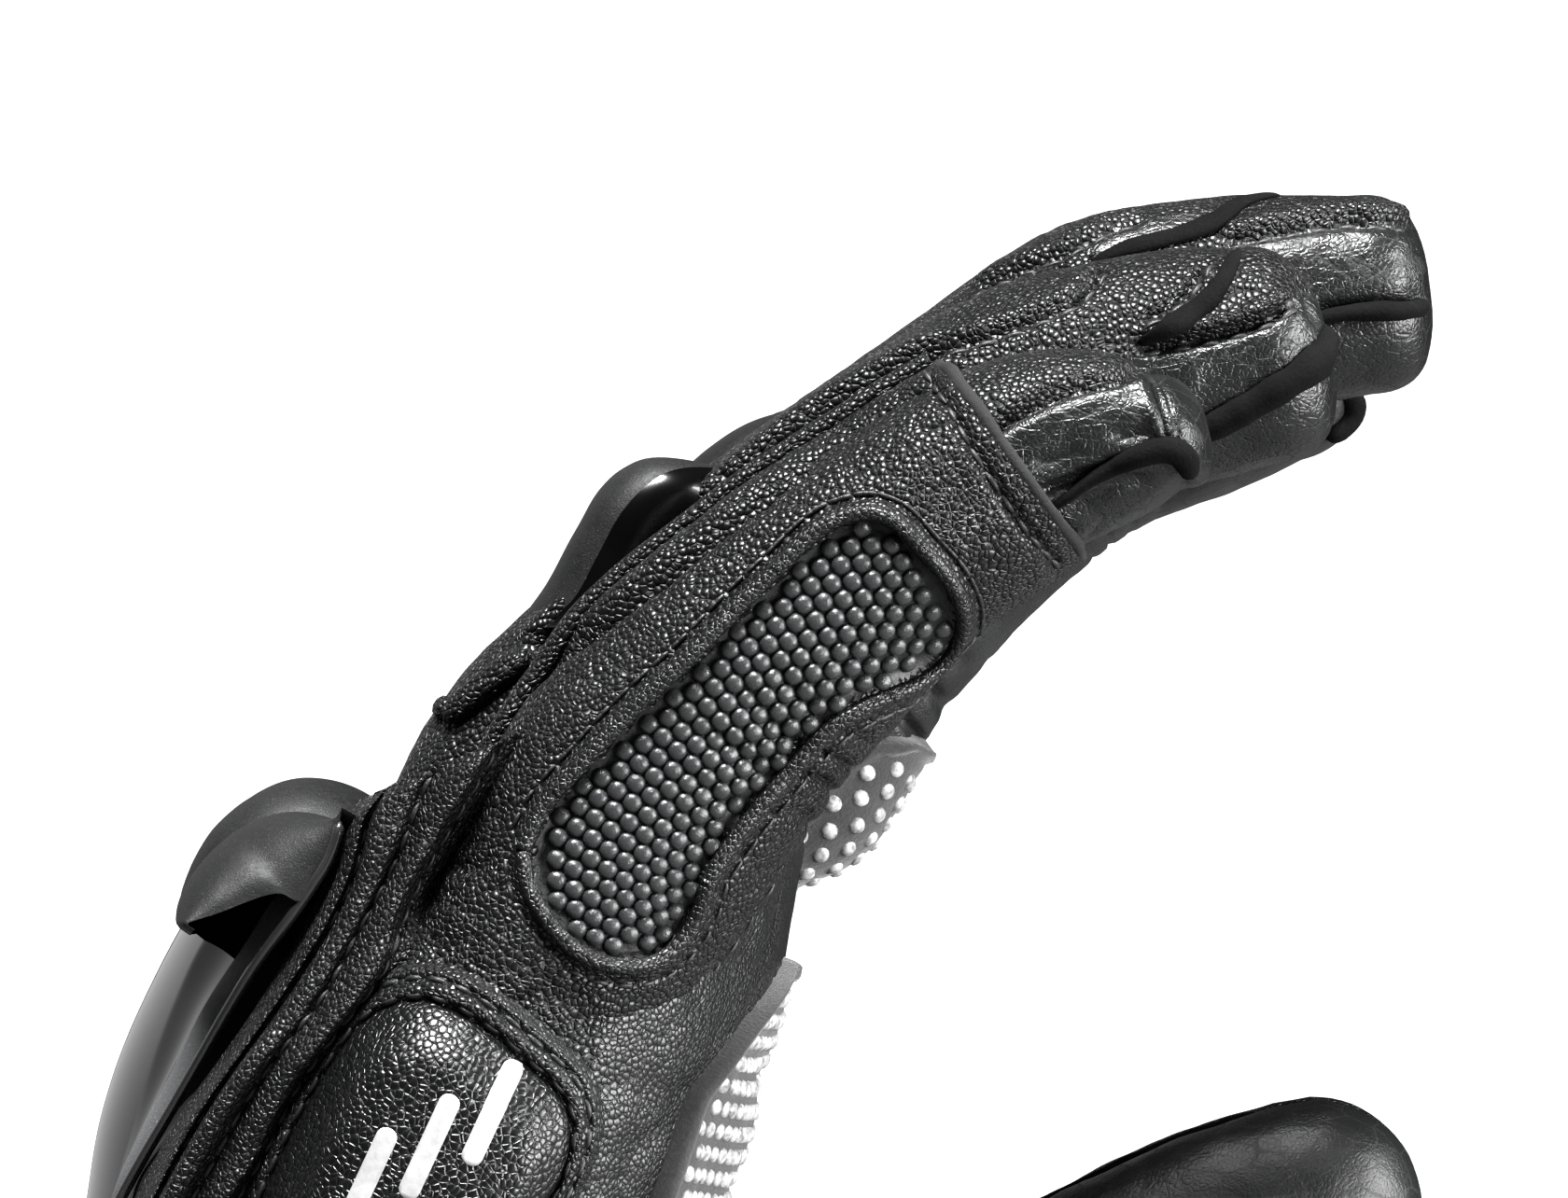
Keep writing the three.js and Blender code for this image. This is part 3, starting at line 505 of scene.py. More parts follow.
class Shader:
    """A material's node tree, with short ways to add nodes. Sizes are in mm."""

    def __init__(self, name):
        self.material = bpy.data.materials.new(name)
        self.material.use_nodes = True
        self.tree = self.material.node_tree
        self.surface = self.tree.nodes["Principled BSDF"]
        self.place = self.node("ShaderNodeTexCoord", {}).outputs["Object"]

    def feed(self, socket, value):
        if isinstance(value, bpy.types.NodeSocket):
            self.tree.links.new(value, socket)
        else:
            socket.default_value = value

    def node(self, kind, inputs, **settings):
        node = self.tree.nodes.new(kind)
        for key, value in settings.items():
            setattr(node, key, value)
        for key, value in inputs.items():
            self.feed(node.inputs[key], value)
        return node

    def coords(self, size, warp=None, amount=0.0, stretch=(1, 1, 1)):
        """Object coordinates in units of `size` mm, optionally warped by a colour."""
        k = 1000.0 / size
        scale = (k * stretch[0], k * stretch[1], k * stretch[2])
        out = self.node("ShaderNodeVectorMath", {0: self.place, 1: scale},
                        operation="MULTIPLY").outputs[0]
        if warp is not None:
            out = self.node("ShaderNodeVectorMath", {0: warp, 1: (amount,) * 3, 2: out},
                            operation="MULTIPLY_ADD").outputs[0]
        return out

    def noise(self, size, detail=2.0, rough=0.55, output="Fac"):
        inputs = {"Vector": self.coords(size), "Scale": 1.0, "Detail": detail, "Roughness": rough}
        return self.node("ShaderNodeTexNoise", inputs).outputs[output]

    def cells(self, coords, feature="DISTANCE_TO_EDGE"):
        """Distance in a Voronoi pattern, from the cell edges or ("F1") the centres."""
        return self.node("ShaderNodeTexVoronoi", {"Vector": coords, "Scale": 1.0},
                         feature=feature).outputs["Distance"]

    def ramp(self, x, over, to=(0.0, 1.0)):
        """Smooth step from to[0] to to[1] as x crosses the range `over`."""
        inputs = {"Value": x, "From Min": over[0], "From Max": over[1],
                  "To Min": to[0], "To Max": to[1]}
        return self.node("ShaderNodeMapRange", inputs,
                         interpolation_type="SMOOTHSTEP").outputs["Result"]

    def math(self, operation, *values):
        return self.node("ShaderNodeMath", dict(enumerate(values)),
                         operation=operation).outputs[0]

    def scaled(self, x, by, plus):
        return self.math("MULTIPLY_ADD", x, by, plus)

    def mix(self, factor, low, high):
        return self.node("ShaderNodeMix", {0: factor, 6: low, 7: high},
                         data_type="RGBA").outputs[2]

    def bump(self, height, relief, strength=1.0):
        """Bump with `relief` mm of depth."""
        inputs = {"Strength": strength, "Distance": relief * 1e-3, "Height": height}
        self.put(Normal=self.node("ShaderNodeBump", inputs).outputs["Normal"])

    def put(self, **inputs):
        for key, value in inputs.items():
            self.feed(self.surface.inputs[key.replace("_", " ")], value)
        return self.material


def leather(name, base, top, cell, relief, rough, wear):
    """Pebbled leather: rounded grains, dark valleys, finer pores, soft wear on the grain tops.
    rough is (in the valleys, on the grains)."""
    sh = Shader(name)
    warp = sh.noise(size=1.6, detail=1.5, rough=0.6, output="Color")
    at = sh.coords(cell, warp=warp, amount=0.55)
    grain = sh.ramp(sh.cells(at), over=(0.0, 0.16))
    centre = sh.cells(at, "F1")
    domed = sh.scaled(sh.math("MULTIPLY", centre, centre), by=-1.7, plus=1.0)
    fine = sh.noise(size=0.24)
    # heights of the domes, the grain edges and the pores
    height = sh.scaled(grain, by=0.45, plus=sh.math("MULTIPLY", domed, 0.62))
    sh.bump(sh.scaled(fine, by=0.13, plus=height), relief)
    patches = sh.noise(size=14.0, detail=3.0)
    lift = sh.math("MULTIPLY", sh.ramp(patches, over=(0.35, 0.75)), wear)
    unworn = 0.35   # share of the top colour without wear
    worn = sh.math("MULTIPLY", grain, sh.math("ADD", unworn, lift))
    return sh.put(Base_Color=sh.mix(worn, grey(base, tint=0.02), grey(top, tint=0.02)),
                  Roughness=sh.ramp(grain, over=(0, 1), to=rough))


def smooth_leather(name, base, rough, relief, cracks):
    """Smooth-finished leather with fine pores and a web of soft creases."""
    sh = Shader(name)
    warp = sh.noise(size=5.0, rough=0.6, output="Color")
    pores = sh.ramp(sh.cells(sh.coords(0.5, warp=warp, amount=0.8)), over=(0.0, 0.25))
    at = sh.coords(2.8, warp=warp, amount=0.5, stretch=(0.6, 1, 1.1))
    wide = sh.ramp(sh.cells(at), over=(0.0, 0.06))
    at = sh.coords(1.2, warp=warp, amount=0.45, stretch=(0.8, 1, 1.25))
    narrow = sh.ramp(sh.cells(at), over=(0.0, 0.08))
    # heights of the pores, the narrow creases and the wide creases
    pores = sh.math("MULTIPLY", pores, 0.45)
    narrow = sh.math("MULTIPLY", narrow, 0.7 * cracks)
    creased = sh.scaled(wide, by=0.5 * cracks, plus=narrow)
    sh.bump(sh.math("ADD", pores, creased), relief)
    patches = sh.noise(size=9.0, detail=3.0)
    colour = sh.mix(sh.ramp(patches, over=(0.3, 0.8)),
                    grey(base, tint=0.02), grey(base * 2.0, tint=0.02))
    return sh.put(Base_Color=colour,
                  Roughness=sh.math("ADD", sh.ramp(wide, over=(0, 1), to=rough),
                                    sh.ramp(patches, over=(0.3, 0.8), to=(0.08, -0.04))))


def matte_rubber(name, base, top, rough=0.62, sparkle=0.12):
    """Fine-grained rubber; sparkle is the share of bright specks, painted glints in the base
    colour.
    """
    sh = Shader(name)
    fine = sh.noise(size=0.16, rough=0.7)
    coarse = sh.noise(size=0.5, rough=0.6)
    sh.bump(sh.scaled(coarse, by=0.5, plus=fine), relief=0.05, strength=0.9)
    # painted glints: bright specks in the base colour stand in for sparkle from the lamps
    specks = sh.math("MULTIPLY", sh.ramp(fine, over=(0.62, 0.74)), sparkle * 6)
    return sh.put(Base_Color=sh.mix(specks, grey(base, tint=0.02), grey(top * 2.2, tint=0.02)),
                  Roughness=sh.ramp(coarse, over=(0.3, 0.7), to=(rough + 0.06, rough - 0.06)))


def gloss_plastic(name, base=0.0035, rough=0.055):
    """Clear-coated hard shell with a faint waviness and dust."""
    sh = Shader(name)
    waves = sh.noise(size=30.0, detail=1.0)
    dust = sh.noise(size=0.3)
    sh.bump(waves, relief=0.25, strength=0.35)
    return sh.put(Base_Color=sh.mix(sh.ramp(dust, over=(0.66, 0.8)), grey(base), grey(base * 2)),
                  Roughness=sh.ramp(sh.noise(size=6.0, detail=3.0), over=(0.3, 0.8),
                                    to=(rough, rough + 0.05)),
                  Coat_Weight=0.6, Coat_Roughness=0.03)


def finish_fabric(sh, height, shade, base, rough, relief):
    sh.bump(height, relief)
    return sh.put(Base_Color=sh.mix(shade, grey(base * 0.6), grey(base * 1.7)),
                  Roughness=rough, Sheen_Weight=0.1)


def loop_fabric(name, base, rough, relief):
    """Tape covered in small tangled loops."""
    sh = Shader(name)
    warp = sh.noise(size=0.8, detail=3.0, rough=0.7, output="Color")
    loops = sh.cells(sh.coords(0.55, warp=warp, amount=1.5), "F1")
    return finish_fabric(sh, loops, sh.ramp(loops, over=(0.1, 0.7)), base, rough, relief)


def knit_fabric(name, base, rough, pitch, relief):
    """Two crossing sets of ribs."""
    sh = Shader(name)
    at = sh.coords(pitch / (2 * math.pi))
    axis = sh.node("ShaderNodeSeparateXYZ", {0: at}).outputs
    one = sh.math("SINE", sh.math("ADD", axis["X"], axis["Z"]))
    other = sh.math("SINE", sh.math("SUBTRACT", axis["Y"], axis["Z"]))
    weave = sh.math("MULTIPLY", one, other)
    return finish_fabric(sh, weave, sh.ramp(weave, over=(-1, 1)), base, rough, relief)


def scuffed_print(name, base, rough, scuffed):
    """Raised light print; scuffed is the brightness left in the scuffs."""
    sh = Shader(name)
    scuffs = sh.noise(size=0.9, detail=3.0, rough=0.65)
    patches = sh.noise(size=7.0)
    sh.bump(scuffs, relief=0.06, strength=0.7)
    whole = sh.math("MULTIPLY", sh.ramp(scuffs, over=(0.30, 0.62)),
                    sh.ramp(patches, over=(0.2, 0.55), to=(0.55, 1.0)))
    return sh.put(Base_Color=sh.mix(whole, grey(base * scuffed), grey(base)), Roughness=rough)


def suede(name, base, sheen, specular=0.5):
    sh = Shader(name)
    nap = sh.noise(size=0.35, detail=4.0, rough=0.7)
    patches = sh.noise(size=2.5, detail=3.0)
    sh.bump(nap, relief=0.12)
    shade = sh.math("MULTIPLY", nap, sh.ramp(patches, over=(0.2, 0.8), to=(0.5, 1.2)))
    return sh.put(Base_Color=sh.mix(shade, grey(base * 0.5), grey(base * 2.0)),
                  Roughness=0.9, Sheen_Weight=sheen, Specular_IOR_Level=specular)


def thread(name, base):
    sh = Shader(name)
    strands = sh.noise(size=0.18)
    sh.bump(strands, relief=0.05)
    return sh.put(Base_Color=sh.mix(strands, grey(base * 0.6), grey(base * 2.2)), Roughness=0.5)


PEBBLED = leather("pebbled_leather", base=0.004, top=0.013, cell=0.56, relief=0.22,
                  rough=(0.6, 0.36), wear=0.5)
PEBBLED_FINE = leather("pebbled_leather_fine", base=0.004, top=0.012, cell=0.52, relief=0.19,
                       rough=(0.6, 0.38), wear=0.35)
PEBBLED_WORN = leather("pebbled_leather_worn", base=0.004, top=0.02, cell=0.60, relief=0.25,
                       rough=(0.6, 0.32), wear=0.9)
PAD_LEATHER = leather("pad_leather", base=0.006, top=0.011, cell=0.62, relief=0.10,
                      rough=(0.42, 0.30), wear=0.3)
PALM_LEATHER = leather("palm_leather", base=0.007, top=0.014, cell=0.5, relief=0.10,
                       rough=(0.48, 0.34), wear=0.4)
CREASED = smooth_leather("smooth_leather_creased", base=0.009, rough=(0.46, 0.30),
                         relief=0.05, cracks=0.7)
PLAIN = smooth_leather("smooth_leather_plain", base=0.010, rough=(0.5, 0.38),
                       relief=0.03, cracks=0.4)
CUT_EDGE = suede("cut_leather_edge", base=0.005, sheen=0.0, specular=0.15)
# Lighter than the other cut edges: painted light, for a thin lit strip on an edge that faces away
# from the lamps.
EDGE_PAINTED_LIGHT = suede("raw_leather_edge", base=0.010, sheen=0.0)
GLOSS = gloss_plastic("gloss_shell")
# Base colour raised far above the other rubbers: painted light, standing in for light that barely
# reaches the band.
MATTE_BAND_PAINTED_LIGHT = matte_rubber("matte_band", base=0.10, top=0.14, rough=0.6)
# A lighter grey than the shell: painted reflection, standing in for the thin light line along the
# rim.
RIM_PAINTED_REFLECTION = gloss_plastic("gloss_rim_worn", base=0.03, rough=0.25)
GLOSS_RIM = gloss_plastic("gloss_shell_rim", rough=0.22)
RUBBER = matte_rubber("matte_rubber", base=0.006, top=0.04)
DARK_RUBBER = matte_rubber("matte_rubber_dark", base=0.006, top=0.02, rough=0.5, sparkle=0.04)
STUD_RUBBER = matte_rubber("stud_rubber_semi_gloss", base=0.04, top=0.06, rough=0.27,
                           sparkle=0.01)
LIGHT_PRINT = scuffed_print("grip_print_light", base=0.36, rough=0.42, scuffed=0.32)
REFLECTIVE = scuffed_print("reflective_print", base=0.30, rough=0.5, scuffed=0.85)
GRIP_SUEDE = suede("grip_suede", base=0.022, sheen=0.3)
LINING = knit_fabric("lining_knit", base=0.02, rough=0.9, pitch=0.9, relief=0.12)
HOOKS = loop_fabric("hook_tape", base=0.012, rough=0.8, relief=0.3)
LOOPS = loop_fabric("loop_tape", base=0.008, rough=0.9, relief=0.22)
THREAD = thread("stitch_thread", base=0.012)


# ---------------------------------------------------------------- tubes
class Tube:
    """A tube's surface as rings of points. Columns run from the thumb side over the back to the
    little-finger side and under the palm. `back` is each ring's direction to its back."""

    def __init__(self, points, centres, back):
        self.points, self.centres, self.back = points, centres, back
        self.along = arc(centres)
        self.refresh()

    def refresh(self):
        self.normals = grid_normals(self.points, True)
        middle = self.points.mean(1, keepdims=True)
        if ((self.points - middle) * self.normals).sum() < 0:
            self.normals = -self.normals

    def push(self, amount):
        """Moves the surface along its normals (amount is rings x columns)."""
        self.points = self.points + self.normals * amount[..., None]
        self.refresh()

    def xz(self):
        return self.points[..., [0, 2]]

    def near(self):
        """1 where the surface faces the little-finger side."""
        return ease(-self.normals[..., 1], 0.0, 0.35)

    def facing_back(self):
        """Cosine of the angle between the surface and the back."""
        return (self.normals * self.back[:, None]).sum(2)

    def ring_at(self, point):
        gaps = self.centres[:, [0, 2]] - np.asarray(point)[[0, 2]]
        return int(np.argmin(np.linalg.norm(gaps, axis=1)))

    def add_grain(self, amount, size, seed):
        """Coarse leather relief carried by the mesh itself."""
        self.push(amount * lumps(self.points, size, seed, 2))


def ring_angles(count, power, aspect=1.0):
    """Angles that give even spacing round a superellipse."""
    f = np.linspace(0, 2 * np.pi, 2881)
    k = 2 / power
    x = np.sign(np.cos(f)) * np.abs(np.cos(f)) ** k * aspect
    y = np.sign(np.sin(f)) * np.abs(np.sin(f)) ** k
    s = arc(np.stack([x, y], 1))
    return np.interp(np.linspace(0, s[-1], count, endpoint=False), s, f)


def superellipses(centres, across, back, near, far, thick, power, angles):
    """Rings with half widths near (little-finger side) and far, and half thickness thick."""
    k = 2 / np.broadcast_to(np.asarray(power, float), (len(centres),))[:, None]
    c, s = np.cos(angles)[None], np.sin(angles)[None]
    x = np.sign(c) * np.abs(c) ** k
    y = np.sign(s) * np.abs(s) ** k * thick[:, None]
    x = np.where(x > 0, x * far[:, None], x * near[:, None])
    return centres[:, None] + x[..., None] * across[:, None] + y[..., None] * back[:, None]


def round_end(blunt):
    """Scale factors (along, across) for a rounded end."""
    along = np.sin(np.linspace(0, 1, 17)[1:] * np.pi / 2)
    across = np.clip(1 - along ** blunt, 0, 1) ** (1 / blunt)
    across[-1] = 0.02
    return along, across


def outlined_tube(stations, y, near, far, power, step, column_step, cap=0.0, smooth=3.0,
                  blunt=2.2):
    """A tube with its back and palm outlines, seen from the little-finger side, through the
    stations (back x, z, palm x, z). y, near, far and power are given at the stations.
    cap is the length of its rounded end."""
    stations = np.asarray(stations, float)
    s = arc((stations[:, :2] + stations[:, 2:]) / 2)
    count = int(s[-1] / step) + 1
    t = np.linspace(0, s[-1], count)
    outline = blur(spline(s, stations, t), smooth / step * 0.5)

    def fill(values):
        values = np.broadcast_to(np.asarray(values, float), (len(s),))
        return blur(np.interp(t, s, values), smooth / step * 0.7)

    y, near, far, power = fill(y), fill(near), fill(far), fill(power)
    top = np.stack([outline[:, 0], 0 * t, outline[:, 1]], 1)
    bottom = np.stack([outline[:, 2], 0 * t, outline[:, 3]], 1)
    centres = (top + bottom) / 2
    thick = np.linalg.norm(top - bottom, axis=1) / 2
    back = unit(top - bottom)
    if cap:
        axis = unit(np.cross(back[-1], ACROSS))
        axis = axis if axis @ (centres[-1] - centres[-4]) > 0 else -axis
        axis = unit(centres[-1] - centres[-6]) * 0.7 + axis * 0.3
        along, across = round_end(blunt)
        extra = len(along)
        centres = np.vstack([centres, centres[-1] + np.outer(along * cap, axis)])
        back = np.vstack([back, np.repeat(back[-1:], extra, 0)])
        near, far, thick = (np.concatenate([v, v[-1] * across]) for v in (near, far, thick))
        y, power = (np.concatenate([v, np.full(extra, v[-1])]) for v in (y, power))
    centres = centres + ACROSS * y[:, None]
    across = np.repeat(ACROSS[None], len(centres), 0)
    columns = int(2 * np.pi * np.mean((near + far) / 2 + thick) / 2 / column_step)
    angles = ring_angles(columns, float(np.mean(power)))
    points = superellipses(centres, across, back, near, far, thick, power, angles)
    return Tube(points, centres, back)


def along_line(tube, line, step, fade):
    """Distance and signed distance of a tube's points from an (x, z) line, and a factor that
    falls to 0 over `fade` mm at the line's ends."""
    line = even_line(line, step)
    distance, signed, along = line_distance(tube.xz(), line)
    if not fade:
        return distance, signed, 1.0
    length = arc(line)[-1]
    return distance, signed, ease(along, 0.0, fade) * ease(length - along, 0.0, fade)


def grooves(tube, rows):
    """Grooves (or ridges, where depth is negative) on the little-finger side.
    rows = (line, width, depth, fade)."""
    total = 0
    for line, width, depth, fade in rows:
        distance, _, ends = along_line(tube, line, 0.7, fade)
        total = total - bell(distance, width) * depth * ends * tube.near()
    return total


def seam(tube, line, width=0.42, depth=0.7, lip=0.35):
    """A sewn seam: a groove with a soft raised edge along its left side."""
    distance, signed, ends = along_line(tube, line, 0.6, 1.5)
    return (-depth * bell(distance, width) + lip * bell(signed - 1.0, 0.7)) * tube.near() * ends


def creases(tube, at, spread, depth, spacing, seed, side):
    """Bunches of folds across a tube round the arc position `at`."""
    s = tube.along[:, None]
    phase = s + 1.3 * noise(tube.points, 7.0, seed) * 1.6
    cut = (0.5 + 0.5 * np.cos(phase * 2 * np.pi / spacing)) ** 4
    uneven = np.clip(0.55 + 0.45 * noise(tube.points, 5.0, seed + 3), 0, 1)
    return -depth * cut * bell(s - at, spread) * uneven * side


def tube_piece(tube, name, first, last, mats, where, zone, nodes=(), close=False):
    """Rings first..last of a tube as one object. zone picks the second material.
    close fans the last ring shut."""
    points, normals = tube.points[first:last + 1], tube.normals[first:last + 1]
    rows, columns, _ = points.shape
    zone = zone[first:last + 1]
    zone = (zone[:-1] + zone[1:]) / 2
    index = (((zone + np.roll(zone, -1, 1)) / 2).ravel() > 0.5).astype(int)
    faces = [grid_quads(rows, columns, True)]
    points, normals = points.reshape(-1, 3), normals.reshape(-1, 3)
    if close:
        j = np.arange(columns)
        ring = (rows - 1) * columns
        tip = np.full(columns, len(points))
        faces.append(np.stack([tip, ring + j, ring + (j + 1) % columns], 1))
        axis = unit(tube.centres[last] - tube.centres[max(last - 3, 0)])
        points = np.vstack([points, tube.points[last].mean(0)])
        normals = np.vstack([normals, axis])
        index = np.concatenate([index, np.full(columns, int(index[-columns:].mean() > 0.5))])
    if outward(faces[0], points, normals, len(faces[0]) // 2) is not faces[0]:
        faces = [f[:, ::-1] for f in faces]
    build(name, points, faces, mats, where, nodes, index, normals)


# ---------------------------------------------------------------- finger bones
class Finger:
    """Bones of one finger. slope is each bone's angle from the +X axis in degrees; wide and
    thick are the half sizes at the joints."""

    def __init__(self, name, base, splay, slope, length, wide=None, thick=None):
        self.wide, self.thick = wide, thick
        c, s = math.cos(math.radians(splay)), math.sin(math.radians(splay))
        self.across = ACROSS * c - ALONG * s
        forward = ALONG * c + ACROSS * s
        self.directions = []
        self.joints = [vec(base)]
        for angle, size in zip(slope, length):
            bend = HAND_LEAN - math.radians(angle)
            self.directions.append(forward * math.cos(bend) - BACK * math.sin(bend))
            self.joints.append(self.joints[-1] + self.directions[-1] * size)
        self.length = length[0]
        self.back = np.cross(self.directions[0], self.across)
        j, d = self.joints, self.directions
        bones = [name + "_proximal", name + "_middle", name + "_distal"]
        self.bends = [("hand", bones[0], j[0] - ALONG * 5, j[0] + d[0] * 11),
                      (bones[0], bones[1], j[1] - d[0] * 7, j[1] + d[1] * 7),
                      (bones[1], bones[2], j[2] - d[1] * 6, j[2] + d[2] * 6)]

    def cuts(self, tube):
        """Rings midway between one bend's end and the next bend's start."""
        return [tube.ring_at((a[3] + b[2]) / 2) for a, b in zip(self.bends, self.bends[1:])]

    def cad_nodes(self, name):
        return ([name + "_proximal_back", name + "_proximal_palm"], [name + "_middle_sleeve"],
                [name + "_tip_back", name + "_tip_palm"])


FINGERS = {name: Finger(name, *row) for name, row in {
    "pinky": ((28.0, -32.5, 175.0), -3.0, (59.0, 45.0, 15.0), (29.0, 22.3, 23.4)),
    "ring": ((22.8, -11.2, 175.0), -1.0, (53.2, 37.6, 12.3), (40.7, 26.9, 27.1),
             (10.2, 9.8, 9.0, 8.4), (14.2, 11.8, 9.9, 8.8)),
    "middle": ((21.5, 10.4, 177.0), 0.6, (49.2, 37.3, 7.1), (48.2, 28.9, 28.2),
               (10.2, 9.9, 9.1, 8.5), (14.4, 11.9, 10.0, 7.9)),
    "index": ((23.5, 32.0, 174.5), 2.6, (49.5, 37.0, 12.0), (41.7, 27.0, 26.5),
              (10.1, 9.8, 9.0, 8.4), (14.0, 11.6, 9.5, 7.4)),
}.items()}
PINKY = FINGERS["pinky"]


def bone_stations(finger, cap, back=None, palm=None):
    """Outline stations, y and half width along a finger's bones. The back and palm outlines
    replace the bones' thickness where they are given."""
    lead = 30     # length added before the first joint
    start = -14   # first station, from the first joint
    every = 3.0
    joints = vec([finger.joints[0] - ALONG * lead] + finger.joints)
    s = arc(joints)
    line = blur(lerp(np.arange(0, s[-1] + 0.01, 0.5), s, joints), 7.0)
    end = s[-1] - cap
    at = np.arange(lead + start, end + 0.01, every)
    at[-1] = end
    along = arc(line) * (s[-1] / arc(line)[-1])
    c = lerp(at, along, line)
    d = unit(lerp(at, along, np.gradient(line, axis=0)))
    n = unit(np.stack([-d[:, 2], d[:, 0]], 1))
    thick = np.interp(at, s[1:], finger.thick)
    wide = np.interp(at, s[1:], finger.wide)
    centres = c[:, [0, 2]]
    sides = []
    for outline, sign in ((back, 1), (palm, -1)):
        reach = thick.copy()
        for i in range(len(at)):
            hit = None if outline is None else ray_to_line(centres[i], n[i] * sign, outline)
            if hit is not None and hit < 22:
                reach[i] = hit
        sides.append(centres + sign * n * blur(reach, 0.8)[:, None])
    return np.hstack(sides), c[:, 1], wide


# ---------------------------------------------------------------- side pleat cords (x, z)
# Three cords between the knuckle guard and the side pad, from the knuckles down
CORD_A = path(15.6, 192.12, 13.98, 189.81, 13.06, 186.35, 10.98, 181.73, 7.52, 175.81,
              3.68, 170.19, 0.22, 165.19, -3.25, 158.73, -4.94, 155.35, -6.48, 151.96)
CORD_B = path(17.14, 193.04, 15.83, 190.42, 14.83, 185.96, 13.06, 181.73, 10.6, 177.88,
              7.52, 173.5, 4.45, 169.5, 0.98, 164.04, -2.09, 158.73, -3.86, 155.35,
              -5.4, 151.96)
CORD_C = path(24.45, 195.96, 22.29, 192.12, 19.98, 188.27, 17.98, 184.81, 16.37, 181.19,
              15.22, 177.81, 13.29, 174.81, 10.98, 171.96, 7.52, 167.12, 5.06, 162.12,
              2.75, 158.27, 0.22, 154.04)

# ---------------------------------------------------------------- hand, wrist and cuff
# One skin in three pieces. Stations: centre x, z, half width, half thickness
HAND_STATIONS = [
    (-2, 0, 47.5, 38.5), (-1.6, 22, 44.5, 35.5), (-1, 45, 40, 31), (-.4, 66, 35.6, 27),
    (0, 80, 33.8, 25.2), (.8, 92, 34.0, 24.6), (4.2, 104, 37.0, 24.0), (9.5, 120, 42.0, 23.4),
    (14.5, 136, 45.0, 22.8), (19.0, 150, 46.0, 22.6), (22.4, 162, 45.9, 22.0)]
# Knuckle end: t, back n, palm n, half width, lean of the station
KNUCKLE_STATIONS = [(2.0, 16.0, -25.0, 45.2, 0), (8.0, 14.6, -25.0, 44.4, 1.0),
                    (13.0, 12.8, -24.6, 43.6, 2.0), (17.0, 10.8, -24.0, 42.6, 3.5)]
# Superellipse power at each station: rounder at the cuff, squarer at the knuckles
HAND_POWERS = [2.15] * 5 + [2.2, 2.3, 2.4, 2.5, 2.6, 2.65] + [2.7] * 4


def hand_tube():
    stations, widths = [], []
    for x, z, wide, thick in HAND_STATIONS:
        t = min(1, max(0, (z - WRIST_Z) / 32))
        n = unit(vec([-1.0, 0, 0]) * (1 - t) + BACK * t)[[0, 2]] * thick
        stations.append([x + n[0], z + n[1], x - n[0], z - n[1]])
        widths.append(wide)
    for t, back, palm, wide, lean in KNUCKLE_STATIONS:
        p, q = on_hand(t - lean, back), on_hand(t + lean * 1.4, palm)
        stations.append([p[0], p[2], q[0], q[2]])
        widths.append(wide)
    return outlined_tube(stations, 0.0, widths, widths, HAND_POWERS, step=0.7, column_step=0.62,
                         cap=9.0, smooth=4.0, blunt=2.4)


# line, width, depth, fade: each cord is a groove with a ridge beside it
HAND_GROOVES = [
    (CORD_A[:8], 0.55, 0.75, 2), (CORD_A[:8] - vec([1.0, -0.35]), 0.7, -0.7, 2),
    (CORD_B[:9], 0.55, 0.8, 2), (CORD_B[:9] - vec([1.15, -0.35]), 0.75, -0.8, 2),
    (CORD_C[:10], 0.5, 0.7, 3), (CORD_C[:10] - vec([1.1, -0.45]), 0.8, -0.6, 3),
    # folds where the back of the hand turns up to the fingers
    (path(14.6, 193.04, 15.98, 191.96, 17.68, 191.5, 19.45, 192.12), 0.7, 1.0, 2),
    (path(15.06, 190.42, 16.75, 189.81, 18.75, 189.96, 20.6, 191.19), 0.8, 0.8, 2),
    (path(13.68, 187.88, 15.6, 186.35, 17.52, 186.35), 0.8, 0.5, 2),
    (path(18.29, 195.96, 20.6, 195.5, 22.91, 195.96), 0.7, 0.7, 2)]
# Palm creases: start (t, y), end (t, y), depth
PALM_CREASES = [((8, -30), (2, 20), 1.2), ((-6, -20), (-4, 30), 1.0), ((-4, 30), (-40, 8), 1.6),
                ((-58, -18), (-52, 20), 0.9)]


def hand_relief(tube):
    points = tube.points
    z = points[..., 2]
    relief = 0.35 * lumps(points, 16.0, 3) * ease(z, 10, 60)
    # soft gathers all round the wrist
    angle = np.arctan2(points[..., 1], -points[..., 0])
    wave = z + 2.2 * lumps(points, 14.0, 7) + 1.2 * np.sin(angle * 2)
    gather = 0.5 + 0.5 * np.cos(2 * np.pi * wave / 6.4)
    relief = relief - bell(z - WRIST_Z, 13.0) * gather ** 3
    relief = relief + grooves(tube, HAND_GROOVES)
    # soft creases running round the little-finger side
    relief = relief - 0.28 * folds(points * vec([1, 1, 0.55]), 9.0, 21) * tube.near()
    # crease lines and small folds on the palm
    palm = ease(tube.normals[..., 0], 0.2, 0.8)
    t = (points - HAND_ORIGIN) @ ALONG
    ty = np.stack([t + 2.0 * lumps(points, 20.0, 31), points[..., 1]], -1)
    for start, end, depth in PALM_CREASES:
        line = vec([start, end], float)
        distance, _, along = line_distance(ty, line)
        ends = ease(along, 0, 6) * ease(arc(line)[-1] - along, 0, 6)
        relief = relief - depth * bell(distance, 1.8) * palm * ends
    return relief - 0.4 * palm * folds(points, 11.0, 37) * ease(z, 95, 110)


